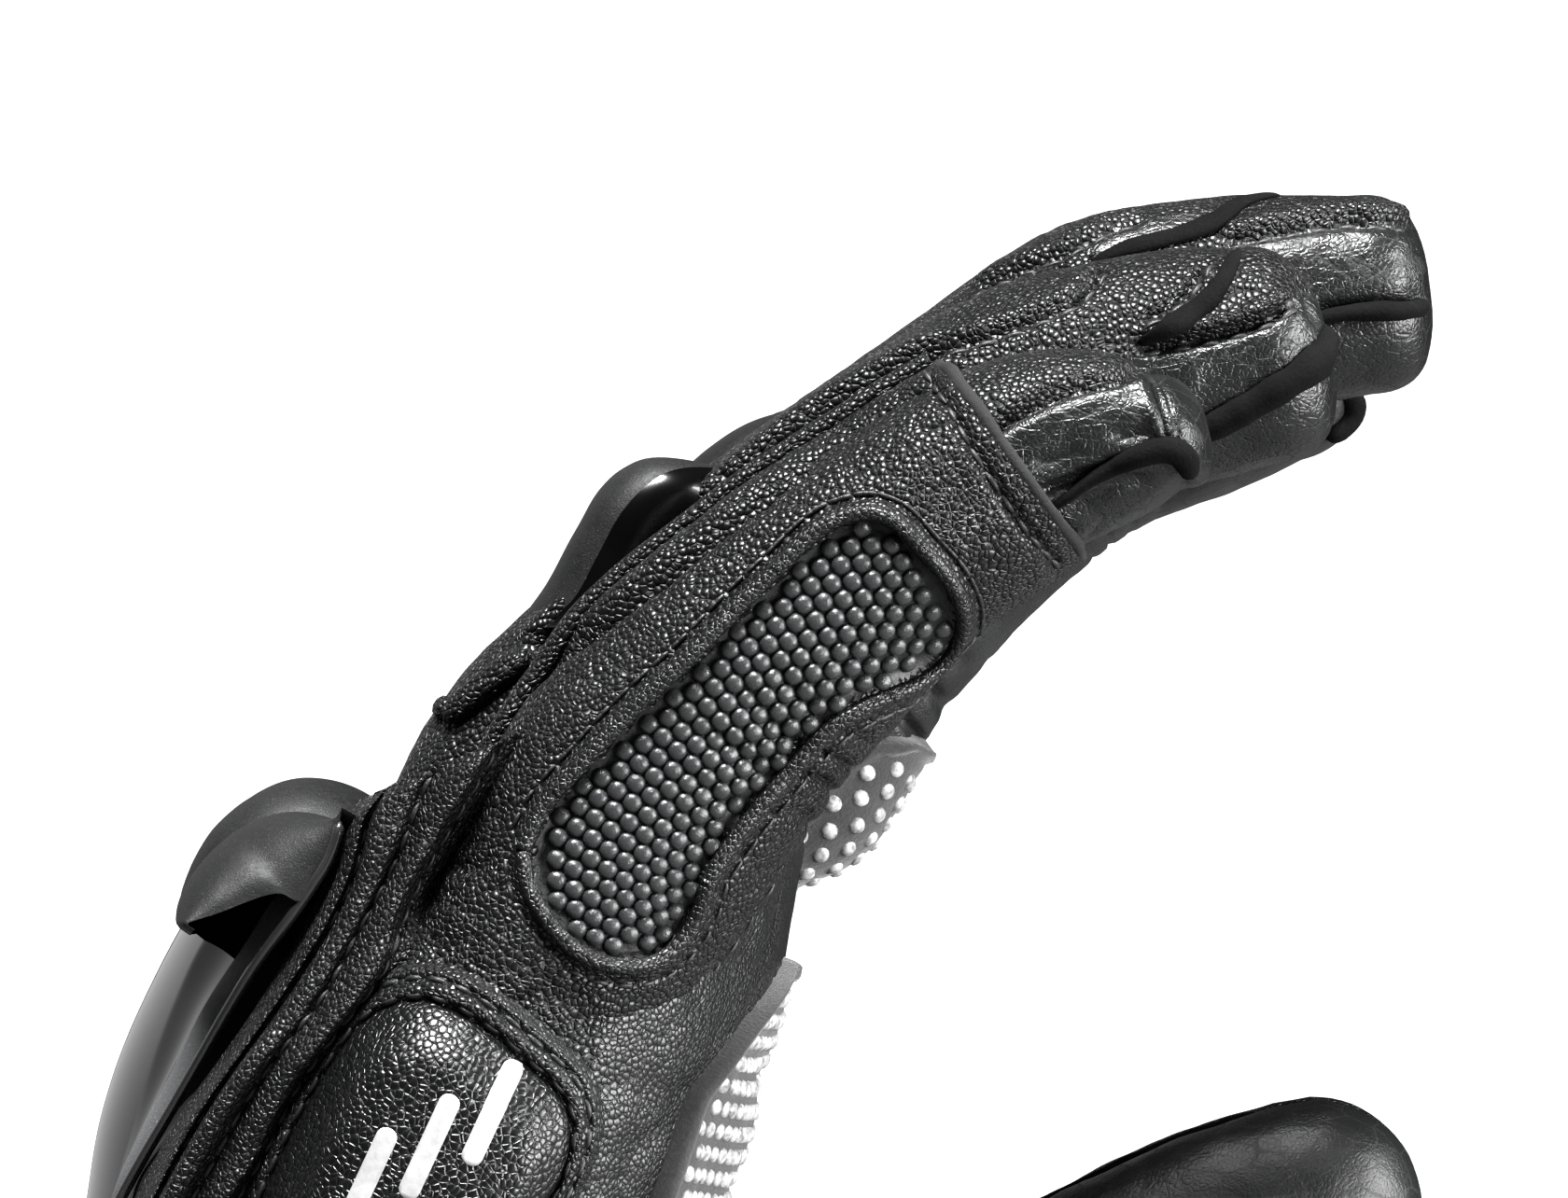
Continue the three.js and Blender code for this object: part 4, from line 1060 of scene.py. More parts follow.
HAND = hand_tube()
HAND_BASE, HAND_BASE_NORMALS = HAND.points, HAND.normals
HAND_Z = HAND.centres[:, 2]
CUFF_END = int(np.argmin(np.abs(HAND_Z - 64)))
HAND_START = int(np.argmin(np.abs(HAND_Z - 112)))
WRIST_BEND = ("cuff", "hand", (0.2, 0, 76), (1.5, 0, 101))
HAND.push(hand_relief(HAND))
HAND.add_grain(0.10, 2.2, 51)
HAND_SURFACE = Surface(HAND.points)


def hand_skins():
    palm = ((HAND.normals[..., 0] > 0.35) & (HAND.points[..., 2] > 96)).astype(float)
    tube_piece(HAND, "cuff_skin", 0, CUFF_END, [PEBBLED_FINE, PLAIN], "cuff", palm,
               ("cuff_back_panel", "cuff_palm_panel"))
    tube_piece(HAND, "wrist_skin", CUFF_END, HAND_START, [PEBBLED_FINE, PALM_LEATHER],
               WRIST_BEND, palm)
    tube_piece(HAND, "hand_skin", HAND_START, len(HAND.points) - 1,
               [PEBBLED_WORN, PALM_LEATHER], "hand", palm,
               ("hand_back_panel", "hand_palm_panel"), close=True)


hand_skins()

# ---------------------------------------------------------------- ring, middle and index fingers
RING_BACK = path(
    13.68, 190.58, 16.75, 193.5, 18.68, 196.88, 21.37, 200.58, 24.45, 204.42, 27.52, 207.12,
    33.68, 212.12, 40.6, 217.5, 48.29, 223.5, 54.83, 227.65, 63.68, 233.04, 69.06, 235.19,
    75.22, 236.42, 79.83, 237.35, 84.37, 237.73, 88.29, 237.35, 90.98, 235.96, 93.06, 232.88)
MIDDLE_BACK = path(
    27.52, 203.65, 33.68, 211.35, 40.6, 218.12, 45.98, 222.88, 50.6, 224.81, 55.98, 228.88,
    63.68, 234.27, 68.68, 238.27, 76.37, 241.04, 84.37, 242.12, 90.6, 242.5, 95.22, 242.42,
    99.83, 241.65, 102.91, 239.42)
INDEX_PALM = path(
    53.68, 183.27, 58.29, 191.35, 62.14, 197.35, 67.52, 204.42, 75.98, 211.96, 81.37, 215.35,
    88.29, 217.35, 94.45, 220.58, 98.14, 221.96)

# Seams near the fingertips: R ring, M middle
R_LONG = path(62.14, 228.88, 65.37, 229.81, 70.14, 231.5, 73.91, 233.5, 75.22, 235.04,
              76.37, 236.58)
R_SLANT = path(84.6, 236.73, 83.68, 235.19, 82.68, 233.81, 81.06, 232.42, 78.29, 230.96)
R_TIP = path(78.29, 228.88, 80.98, 229.35, 83.52, 229.73, 86.68, 230.5, 89.37, 231.5,
             91.98, 233.19)
R_END = path(91.52, 235.96, 92.29, 234.42, 92.91, 232.5, 93.68, 230.42)
R_LOWER = path(27.52, 203.65, 33.68, 208.88, 39.98, 213.81, 45.98, 218.88, 52.52, 223.81,
               58.29, 227.12, 62.91, 229.65)
M_TIP = path(85.98, 237.96, 88.29, 238.58, 91.45, 239.19, 94.45, 239.73, 96.6, 239.96,
             99.83, 239.88, 103.06, 239.5)
M_LONG = path(64.45, 233.96, 67.45, 235.27, 69.83, 236.27, 71.91, 237.04, 74.29, 238.27,
              76.37, 239.35, 79.83, 240.42)
M_END = path(93.06, 232.12, 95.98, 232.58, 99.83, 232.88, 103.83, 232.88)
I_TIP = path(84.45, 221.35, 89.06, 223.65, 93.68, 226.35, 97.52, 227.04)

# Wrinkled patches
R_WRINKLED = path(77.68, 228.19, 83.52, 229.58, 89.37, 230.42, 92.14, 233.04, 94.06, 230.58,
                  92.14, 227.12, 84.45, 222.88, 77.68, 223.65)
M_WRINKLED = path(85.98, 237.81, 91.45, 238.88, 96.6, 239.65, 104.45, 239.19, 104.45, 232.12,
                  92.91, 232.5)
# Zones of smooth leather
R_SMOOTH = np.vstack([path(75.22, 227.12, 77.68, 228.19, 80.98, 229.19), R_TIP[2:],
                      path(94.06, 235.19, 99.83, 234.42, 99.83, 214.42, 75.22, 214.42)])
M_SMOOTH = np.vstack([path(83.68, 237.35), M_TIP,
                      path(107.52, 239.81, 107.52, 225.19, 83.68, 225.19)])
M_SMOOTH_BACK = path(74.45, 237.04, 75.6, 238.88, 79.06, 240.12, 83.91, 240.96, 87.14, 241.65,
                     83.68, 239.04, 77.68, 237.5)

# Folds at the joints: joint, spread, depth, spacing, on the palm side or not
JOINT_FOLDS = [(1, 8.0, 1.3, 4.4, True), (2, 6.0, 0.55, 3.6, True),
               (1, 6.0, 0.55, 3.0, False), (2, 4.5, 0.4, 2.4, False)]


def finger_tube(name, seed, cap, blunt, step, **outlines):
    """A finger's tube with folds at the joints, soft lumps and fine relief."""
    finger = FINGERS[name]
    stations, y, wide = bone_stations(finger, cap, **outlines)
    tube = outlined_tube(stations, y, wide, wide, 2.4, step, column_step=step, cap=cap,
                         blunt=blunt)
    facing = tube.facing_back()
    relief = 0.28 * lumps(tube.points, 9.0, seed)
    for i, (joint, spread, depth, spacing, palm) in enumerate(JOINT_FOLDS):
        at = tube.along[tube.ring_at(finger.joints[joint])]
        side = ease(-facing if palm else facing, -0.2, 0.5)
        relief = relief + creases(tube, at, spread, depth, spacing, seed + 1 + i, side)
    tube.push(relief)
    tube.add_grain(0.07, 1.9, seed + 9)
    return tube


def wrinkles(tube, depth, stretch, size, seed, outline=None):
    """Folds on the little-finger side, within an outline if one is given."""
    where = 1.0 if outline is None else inside(tube.xz(), outline)
    return depth * folds(tube.points * vec(stretch), size, seed) * tube.near() * where


def zone_of(tube, *outlines):
    """1 within the outlines on the little-finger side, else 0."""
    zone = np.zeros(tube.points.shape[:2])
    for outline in outlines:
        zone = np.maximum(zone, inside(tube.xz(), outline).astype(float))
    return zone * (tube.normals[..., 1] < 0.15)


def finger_skins(name, zone, mats):
    """A finger's skin in three pieces, cut between its joints."""
    tube, finger = TUBES[name], FINGERS[name]
    rings = [0, *finger.cuts(tube), len(tube.points) - 1]
    nodes = finger.cad_nodes(name)
    for i, part in enumerate(("base", "middle", "tip")):
        tube_piece(tube, f"{name}_skin_{part}", rings[i], rings[i + 1], mats, finger.bends[i],
                   zone, nodes[i], close=part == "tip")


TUBES = {
    "ring": finger_tube("ring", seed=101, cap=6.5, blunt=2.5, step=0.45, back=RING_BACK),
    "middle": finger_tube("middle", seed=131, cap=6.0, blunt=2.9, step=0.5, back=MIDDLE_BACK),
    "index": finger_tube("index", seed=161, cap=6.0, blunt=2.8, step=0.5, palm=INDEX_PALM)}
tube = TUBES["ring"]
tube.push(seam(tube, R_LONG) + seam(tube, R_SLANT, width=0.38, depth=0.6)
          + seam(tube, R_TIP, width=0.5, depth=1.1, lip=0.8)
          + seam(tube, R_END, width=0.4, depth=0.5)
          + seam(tube, R_LOWER, width=0.6, depth=1.3, lip=0.6)
          - wrinkles(tube, 0.16, (0.7, 1, 1.3), 5.0, 811, R_WRINKLED))
tube = TUBES["middle"]
tube.push(seam(tube, M_TIP, width=0.45, depth=0.9, lip=0.7) + seam(tube, M_LONG)
          + seam(tube, M_END, width=0.6, depth=0.9, lip=-0.3)
          - wrinkles(tube, 0.2, (0.6, 1, 1.2), 6.5, 821, M_WRINKLED))
tube = TUBES["index"]
tube.push(seam(tube, I_TIP, width=0.5, depth=0.7, lip=0.4)
          - wrinkles(tube, 0.12, (0.7, 1, 1.2), 7.0, 831))
finger_skins("ring", zone_of(TUBES["ring"], R_SMOOTH), [PEBBLED, CREASED])
finger_skins("middle", zone_of(TUBES["middle"], M_SMOOTH, M_SMOOTH_BACK), [PEBBLED, CREASED])
finger_skins("index", zone_of(TUBES["index"]), [PLAIN, CREASED])

# ---------------------------------------------------------------- little-finger sleeve
# Stations: back x, z, palm x, z
SLEEVE_STATIONS = path(
    9.45, 171.96, 32.29, 161.19,  14.06, 177.35, 35.83, 166.73,  18.29, 183.81, 39.22, 171.35,
    20.98, 189.35, 43.22, 176.73,  23.37, 194.42, 46.91, 181.81,  26.52, 199.65, 49.98, 186.88,
    29.98, 204.27, 52.45, 190.88,  35.22, 209.65, 55.06, 194.27,  41.37, 214.42, 58.45, 197.65,
    47.52, 218.81, 61.98, 201.96,  53.68, 222.73, 65.83, 205.65,  58.29, 225.73, 70.14, 208.58,
    61.6, 227.65, 73.68, 211.19).reshape(-1, 4)
SLEEVE_Y = [-32.3, -32.3, -32.4, -32.6, -32.9, -33.2, -33.6, -34.1, -34.6, -35.0, -35.4, -35.7,
            -35.9]
SLEEVE_NEAR = [13.0, 13.2, 13.3, 13.3, 13.2, 13.1, 13.0, 12.9, 12.8, 12.7, 12.5, 12.2, 12.0]
# Outline of the studded insert
INSERT = even_line(closed(path(
    27.83, 187.27, 28.14, 184.88, 29.91, 181.65, 32.52, 179.04, 35.22, 178.12, 38.45, 178.42,
    40.52, 180.19, 41.98, 182.58, 42.68, 185.04, 44.6, 188.12, 47.98, 192.42, 50.45, 195.27,
    53.14, 197.96, 56.75, 199.96, 60.29, 201.58, 62.06, 203.12, 63.37, 205.04, 63.68, 206.88,
    63.06, 208.58, 60.22, 212.12, 57.68, 214.58, 56.14, 215.04, 54.06, 214.65, 47.98, 209.73,
    40.75, 202.5, 36.98, 199.04, 32.83, 194.65, 29.29, 190.5)), 0.6)[:-1]
UPPER_SEAM = path(15.22, 179.96, 18.29, 184.42, 21.22, 189.81, 23.52, 194.81, 25.98, 199.27,
                  29.14, 202.81, 35.37, 207.5, 41.68, 212.42, 47.98, 217.42, 54.22, 222.27,
                  58.68, 224.88, 61.6, 226.42)
LOWER_SEAM = path(34.91, 165.81, 36.98, 167.5, 38.45, 169.58, 41.37, 174.04, 42.83, 176.65,
                  45.52, 180.19, 46.98, 182.58, 49.83, 186.73, 52.52, 189.81, 55.22, 193.04,
                  58.45, 196.88, 61.75, 200.81, 64.83, 203.88, 69.06, 207.12)
END_SEAM = path(60.6, 226.88, 62.45, 223.96, 64.45, 220.42, 66.75, 216.88, 69.37, 213.19,
                72.14, 210.27)
# line, width, depth, fade
SLEEVE_GROOVES = [
    (UPPER_SEAM, 0.65, 2.0, 2), (UPPER_SEAM + vec([-0.75, 0.95]), 0.75, -0.6, 2),
    (UPPER_SEAM + vec([-1.75, 1.85]), 0.6, 1.1, 2),
    (LOWER_SEAM, 0.5, 0.9, 3), (LOWER_SEAM + vec([-1.0, -1.0]), 0.7, -0.45, 3),
    (END_SEAM, 0.45, 0.7, 0.6)]
PIPING_LINE = path(17.52, 183.5, 20.6, 189.42, 23.06, 194.81, 26.37, 199.96, 29.98, 204.42,
                   35.22, 209.65, 41.37, 214.42, 47.52, 218.81, 53.68, 222.73, 58.29, 225.73,
                   61.22, 227.58)
# Middle line of the stud rows
STUD_AXIS = path(30.6, 179.81, 33.68, 185.96, 38.29, 192.12, 43.68, 197.88, 49.83, 202.88,
                 55.98, 207.5, 62.14, 211.35)
STUD_PITCH = 1.62


def sleeve_relief(tube, insert_depth):
    near = tube.near()
    points = tube.points
    relief = 0.22 * lumps(points, 12.0, 201)
    # recess for the insert, rolled rim round it, sewn channel outside the rim
    relief = relief - 0.75 * ease(insert_depth, 0.1, 0.9) * near
    relief = relief + 0.55 * bell(insert_depth + 0.55, 0.55) * near
    relief = relief - 0.30 * bell(insert_depth + 1.55, 0.32) * near
    relief = relief + grooves(tube, SLEEVE_GROOVES)
    # loose leather near the side pad and drag lines round the insert
    loose = (1 - ease(tube.along[:, None], 16, 30)) * ease(-insert_depth, 1.5, 5)
    relief = relief - wrinkles(tube, 0.5, (0.75, 1, 1.25), 6.5, 211) * loose
    drag = wrinkles(tube, 0.22, (1, 1, 1), 8.0, 221) * ease(-insert_depth, 1.5, 4)
    at = tube.along[tube.ring_at(PINKY.joints[1])]
    palm = ease(-tube.facing_back(), -0.2, 0.5)
    return relief - drag + creases(tube, at, 9, 0.9, 4.2, 231, palm)


def hem(tube, thick=2.1):
    """Folds a tube's end in on itself, so that it ends in a cut edge of real thickness.
    Returns the number of rings added."""
    points, normals = tube.points, tube.normals
    axis = unit(tube.centres[-1] - tube.centres[-5])
    # (out along the axis, in through the thickness)
    fold = ((0.30, 0.12), (0.45, 0.5), (0.30, 0.88), (0.0, 1.0))
    rings = [points[-1] + axis * out * 0.8 - normals[-1] * thick * deep for out, deep in fold]
    rings += [points[-1 - k] - normals[-1 - k] * thick for k in range(2, 10, 2)]
    tube.points = np.concatenate([points, vec(rings)])
    tube.normals = grid_normals(tube.points, True)
    if (tube.normals[5] * normals[5]).sum() < 0:
        tube.normals = -tube.normals
    return len(rings)


SLEEVE = outlined_tube(SLEEVE_STATIONS, SLEEVE_Y, SLEEVE_NEAR, 9.5, 2.25, step=0.4,
                       column_step=0.4, smooth=2.5)
SLEEVE_CUTS = PINKY.cuts(SLEEVE)
SLEEVE_LAST = len(SLEEVE.points) - 1
insert_depth = depth_inside(SLEEVE.xz(), INSERT)
SLEEVE.push(sleeve_relief(SLEEVE, insert_depth))
SLEEVE.push(0.08 * lumps(SLEEVE.points, 1.7, 241, 2) * ease(-insert_depth, 0.4, 1.4))
SLEEVE_SURFACE = Surface(SLEEVE.points)
SLEEVE_OUTSIDE = SLEEVE.points[:-1]


def sleeve_skins():
    added = hem(SLEEVE)
    depth = np.concatenate([insert_depth, np.repeat(insert_depth[-1:], added, 0)])
    zone = ((depth > 0.35) & (SLEEVE.normals[..., 1] < 0)).astype(float)
    zone[-added:] = 0
    rings = [0, *SLEEVE_CUTS, len(SLEEVE.points) - 1]
    base, middle, _ = PINKY.cad_nodes("pinky")
    nodes = [base + ["pinky_side_panel"], middle + ["pinky_side_panel_end"], ()]
    for i, part in enumerate(("base", "middle", "end")):
        tube_piece(SLEEVE, f"pinky_sleeve_{part}", rings[i], rings[i + 1],
                   [PEBBLED, DARK_RUBBER], PINKY.bends[i], zone, nodes[i])


def sleeve_part(point):
    """0, 1 or 2: which of the sleeve's pieces a point lies on."""
    ring = SLEEVE.ring_at(point)
    return sum(ring >= cut for cut in SLEEVE_CUTS)


def sleeve_parts(points):
    return vec([sleeve_part(p) for p in points])


def sleeve_cut_edge():
    """Cord along the cut edge of the sleeve's open end, except on its far side."""
    normals = SLEEVE.normals[SLEEVE_LAST - 3]
    columns = np.nonzero(normals[:, 1] < 0.25)[0]
    gaps = np.nonzero(np.diff(columns) > 1)[0]
    if len(gaps):
        columns = np.roll(columns, -(gaps[0] + 1))
    axis = unit(SLEEVE.centres[SLEEVE_LAST] - SLEEVE.centres[SLEEVE_LAST - 6])
    n = normals[columns]
    line = blur(SLEEVE.points[SLEEVE_LAST][columns], 2.0) - n * 0.55 + axis * 0.1
    # its lighter colour is painted light
    cord("sleeve_cut_edge", line, n, 0.6, EDGE_PAINTED_LIGHT, PINKY.bends[2], flat=1.1, sides=8)


def insert_studs():
    """Studs in staggered rows that follow the insert's bend."""
    axis = even_line(STUD_AXIS, 0.25)
    s = arc(axis)
    forward = unit(np.gradient(axis, axis=0))
    sideways = np.stack([-forward[:, 1], forward[:, 0]], 1)
    batches = [Batch(), Batch(), Batch()]
    row = 0
    at = 0.3
    while at < s[-1]:
        centre = lerp(at, s, axis)
        side = unit(lerp(at, s, sideways))
        d = forward[int(at / s[-1] * (len(forward) - 1))]
        for k in range(-8, 9):
            q = centre + side * (k + 0.5 * (row % 2)) * STUD_PITCH
            if depth_inside(q[None], INSERT)[0] < 0.95:
                continue
            hit, n = SLEEVE_SURFACE.near(q[0], q[1])
            if hit is None:
                continue
            u = unit(vec([d[0], 0, d[1]]))
            u = unit(u - n * (u @ n))
            batches[sleeve_part(hit)].add(*dome(hit - n * 0.05, n, u, radius=0.83, height=0.66,
                                                sides=14, rings=5, square=2.3))
        row += 1
        at += STUD_PITCH * math.sqrt(3) / 2
    for batch, end, nodes in zip(batches, ("", "_end", "_tip"),
                                 (["pinky_stud_pad"], ["pinky_stud_pad_end"], ())):
        batch.build("pinky_insert_studs" + end, STUD_RUBBER,
                    PINKY.bends[batches.index(batch)], "stud_rubber", nodes)


def sleeve_piping():
    """Piping along the sleeve's upper edge, in the sleeve's three lengths."""
    found = [SLEEVE_SURFACE.nearest((x + 0.25, -36.0, z - 0.3))
             for x, z in even_line(PIPING_LINE, 0.5)]
    line, normals = blur(vec([f[0] for f in found]), 2.0), blur(vec([f[1] for f in found]), 3.0)
    line = line + normals * 0.25
    part = sleeve_parts(line)
    for k in range(3):
        i = np.nonzero(part == k)[0]
        if len(i) > 3:
            a, b = max(i[0] - 1, 0), i[-1] + 1
            cord(f"sleeve_piping_{k}", line[a:b], normals[a:b], 1.05, PEBBLED_FINE,
                 PINKY.bends[k], flat=0.9, round_ends=False)


def sleeve_stitches(line, **size):
    points, normals = SLEEVE_SURFACE.near_line(line)
    part = sleeve_parts(points)
    for k in range(3):
        i = np.nonzero(part == k)[0]
        if len(i) > 4:
            run = slice(i[0], i[-1] + 1)
            stitches(points[run], normals[run], PINKY.bends[k], **size)


def insert_rim():
    """Stitches round the insert and its rolled rim."""
    ring = even_line(closed(INSERT), 0.5)
    tangent = np.gradient(ring, axis=0)
    out = unit(np.stack([tangent[:, 1], -tangent[:, 0]], 1))
    out = out * np.sign(((ring - INSERT.mean(0)) * out).sum(1).mean())
    sleeve_stitches(ring + out * 1.75, pitch=2.2, length=1.6, sink=0.08, width=0.42,
                    height=0.34)
    points, normals = SLEEVE_SURFACE.near_line(ring + out * 0.25, step=0.45, lift=0.12)
    points = blur(points, 1.5)
    part = sleeve_parts(points)
    for k in range(3):
        found = np.nonzero(part == k)[0]
        for j, i in enumerate(np.split(found, np.nonzero(np.diff(found) > 1)[0] + 1)):
            if len(i) > 5:
                run = slice(max(i[0] - 1, 0), min(i[-1] + 2, len(points)))
                cord(f"insert_rim_{k}_{j}", points[run], normals[run], 0.70, PALM_LEATHER,
                     PINKY.bends[k], "smooth_leather", flat=0.95, round_ends=False)


sleeve_skins()
sleeve_cut_edge()
insert_studs()
sleeve_piping()
sleeve_stitches(LOWER_SEAM)
sleeve_stitches(END_SEAM, sink=0.0, pitch=2.3)
insert_rim()

# ---------------------------------------------------------------- little-finger tip
# The finger itself shows only past the end of its side sleeve. Stations: back x, z, palm x, z
TIP_STATIONS = path(
    50.6, 219.04, 62.14, 204.42,  55.98, 222.73, 66.14, 207.5,  63.68, 227.04, 70.6, 211.35,
    67.14, 228.27, 73.52, 212.5,  70.6, 228.88, 75.98, 213.5,  74.06, 228.88, 78.45, 214.73,
    77.14, 228.27, 80.6, 215.96,  79.22, 226.58, 81.98, 217.19).reshape(-1, 4)
TIP_SEAM = path(63.68, 220.12, 66.37, 222.04, 69.14, 223.73, 72.22, 225.12, 74.6, 225.81,
                75.98, 226.12, 77.68, 226.81, 79.22, 227.04, 80.6, 227.35)
TIP_FOLD = path(78.98, 226.88, 79.68, 225.35, 80.37, 223.27, 80.98, 220.96)
# line, width, depth, fade
TIP_GROOVES = [
    (TIP_SEAM, 0.5, 1.0, 0), (TIP_FOLD, 0.5, 0.5, 1), (TIP_FOLD - vec([0.9, 0.0]), 0.6, -0.5, 1),
    (path(69.06, 216.27, 72.14, 217.5, 74.83, 218.58, 77.68, 219.65), 0.55, 0.9, 2),
    (path(69.98, 214.73, 72.91, 215.58, 76.75, 217.5, 79.83, 218.12), 0.6, 0.6, 2),
    (path(75.22, 221.35, 77.91, 221.5, 80.22, 221.96), 0.5, 0.5, 2),
    (path(68.68, 219.04, 71.37, 219.65, 73.68, 220.73), 0.6, 0.35, 2)]


def pinky_tip():
    tube = outlined_tube(TIP_STATIONS, -35.5, 10.0, 8.6, 2.3, step=0.42, column_step=0.42,
                         cap=3.6, smooth=2.0, blunt=2.6)
    tube.push(0.25 * lumps(tube.points, 8.0, 301))
    _, left, _ = along_line(tube, TIP_SEAM, 0.6, 0)
    tube.push(grooves(tube, TIP_GROOVES) + 0.35 * ease(left, -0.1, 1.2) * tube.near()
              - wrinkles(tube, 0.18, (0.6, 1, 1.3), 5.0, 311) * ease(-left, 0.5, 2))
    tube_piece(tube, "pinky_skin_tip", 0, len(tube.points) - 1, [PEBBLED, CREASED],
               PINKY.bends[2], (left < 0).astype(float), PINKY.cad_nodes("pinky")[2], close=True)
    return tube


TUBES["pinky"] = pinky_tip()
FINGER_SURFACES = {name: Surface(tube.points) for name, tube in TUBES.items()}

# ---------------------------------------------------------------- fingertip straps and flanges
# name, finger, line, radius, lift, flatness, swell along the line, material
FLANGES = [
    ("pinky_tip_seam", "pinky",
     path(70.6, 215.35, 72.91, 216.88, 75.22, 218.42, 77.37, 219.5, 79.45, 220.27,
          81.06, 220.42, 82.14, 219.65, 82.45, 218.27),
     0.95, 0.1, 1.0, [0.35, 0.5, 0.8, 1.1, 1.25, 1.2], CUT_EDGE),
    ("pinky_tip_fold", "pinky",
     path(78.91, 226.73, 79.83, 225.19, 80.52, 223.12, 81.06, 221.04),
     0.6, -0.1, 1.0, [0.6, 0.9, 1.1, 1.1], CREASED),
    ("ring_tip_strap", "ring",
     path(87.22, 237.65, 86.45, 236.27, 85.52, 234.42, 84.14, 232.73, 82.75, 231.65,
          80.6, 230.42, 78.45, 229.35),
     0.9, 0.12, 0.45, [0.8, 0.8, 1.1, 1.2, 1.0, 0.5], CUT_EDGE),
    ("ring_tip_flange", "ring",
     path(93.98, 230.96, 94.29, 229.65, 93.68, 228.27, 91.98, 226.73, 89.83, 225.35,
          87.52, 223.96, 84.6, 222.42, 82.52, 221.19),
     1.3, 0.2, 0.9, [0.8, 1.1, 1.1, 1.0, 0.9, 0.7], CUT_EDGE),
    ("middle_tip_strap", "middle",
     path(90.98, 242.19, 89.06, 241.96, 87.37, 241.42, 85.83, 240.12, 83.68, 239.19,
          80.6, 238.35, 77.68, 237.58, 74.91, 236.42),
     0.9, 0.12, 0.45, [0.7, 1.0, 1.2, 1.0, 0.9, 0.5], CUT_EDGE),
    ("middle_tip_flange", "middle",
     path(93.68, 231.65, 95.98, 232.04, 99.06, 232.27, 102.14, 232.42, 103.37, 233.04),
     0.9, 0.15, 0.9, [0.6, 0.9, 1.0, 1.0], CUT_EDGE),
    ("index_tip_flange", "index",
     path(94.6, 226.58, 96.14, 226.58, 97.22, 225.81, 97.52, 224.42, 96.91, 223.04,
          95.22, 221.96),
     1.0, 0.2, 1.0, [0.5, 0.9, 1.2, 1.1, 0.8], CUT_EDGE)]

for name, finger, line, radius, lift, flat, swell, mat in FLANGES:
    points, normals = FINGER_SURFACES[finger].near_line(line, step=0.4, lift=lift)
    points = blur(points, 1.5)
    swell = np.interp(np.linspace(0, 1, len(points)), np.linspace(0, 1, len(swell)), swell)
    cord(name, points, normals, radius, mat, FINGERS[finger].bends[2], "smooth_leather",
         flat=flat, swell=(1 + 0.14 * noise(points, 1.6, 5)) * swell)
for finger, line in (("ring", R_LONG), ("ring", R_SLANT), ("ring", R_TIP), ("middle", M_TIP),
                     ("middle", M_LONG)):
    beside = line + vec([0.25, -0.55])
    stitches(*FINGER_SURFACES[finger].near_line(beside, step=0.5), FINGERS[finger].bends[2])

# ---------------------------------------------------------------- padded side of the hand
PAD_OUTLINE = even_line(closed(path(
    34.29, 164.81, 34.14, 167.27, 32.83, 169.88, 29.91, 172.58, 26.37, 175.5, 22.83, 177.58,
    19.91, 178.42, 17.22, 178.12, 14.6, 176.88, 11.37, 173.5, 7.91, 168.65, 4.83, 163.5,
    2.29, 158.27, -0.48, 150.58, -2.32, 142.12, -2.63, 134.42, -0.17, 127.5, 4.6, 123.81,
    10.22, 123.5, 15.22, 126.73, 18.83, 132.5, 22.29, 139.42, 25.98, 147.5, 29.45, 154.04,
    32.29, 159.04, 33.83, 162.5)), 0.8)[:-1]
PAD_CENTRE = vec([15.6, 151.96])
PAD_SPOKES = 300
SIDE_SURFACE = Surface(HAND.points, SLEEVE_OUTSIDE)

pad_angles = np.linspace(0, 2 * np.pi, PAD_SPOKES, endpoint=False)
pad_rays = np.stack([np.cos(pad_angles), np.sin(pad_angles)], 1)
pad_reach = vec([ray_to_line(PAD_CENTRE, ray, closed(PAD_OUTLINE)) for ray in pad_rays])


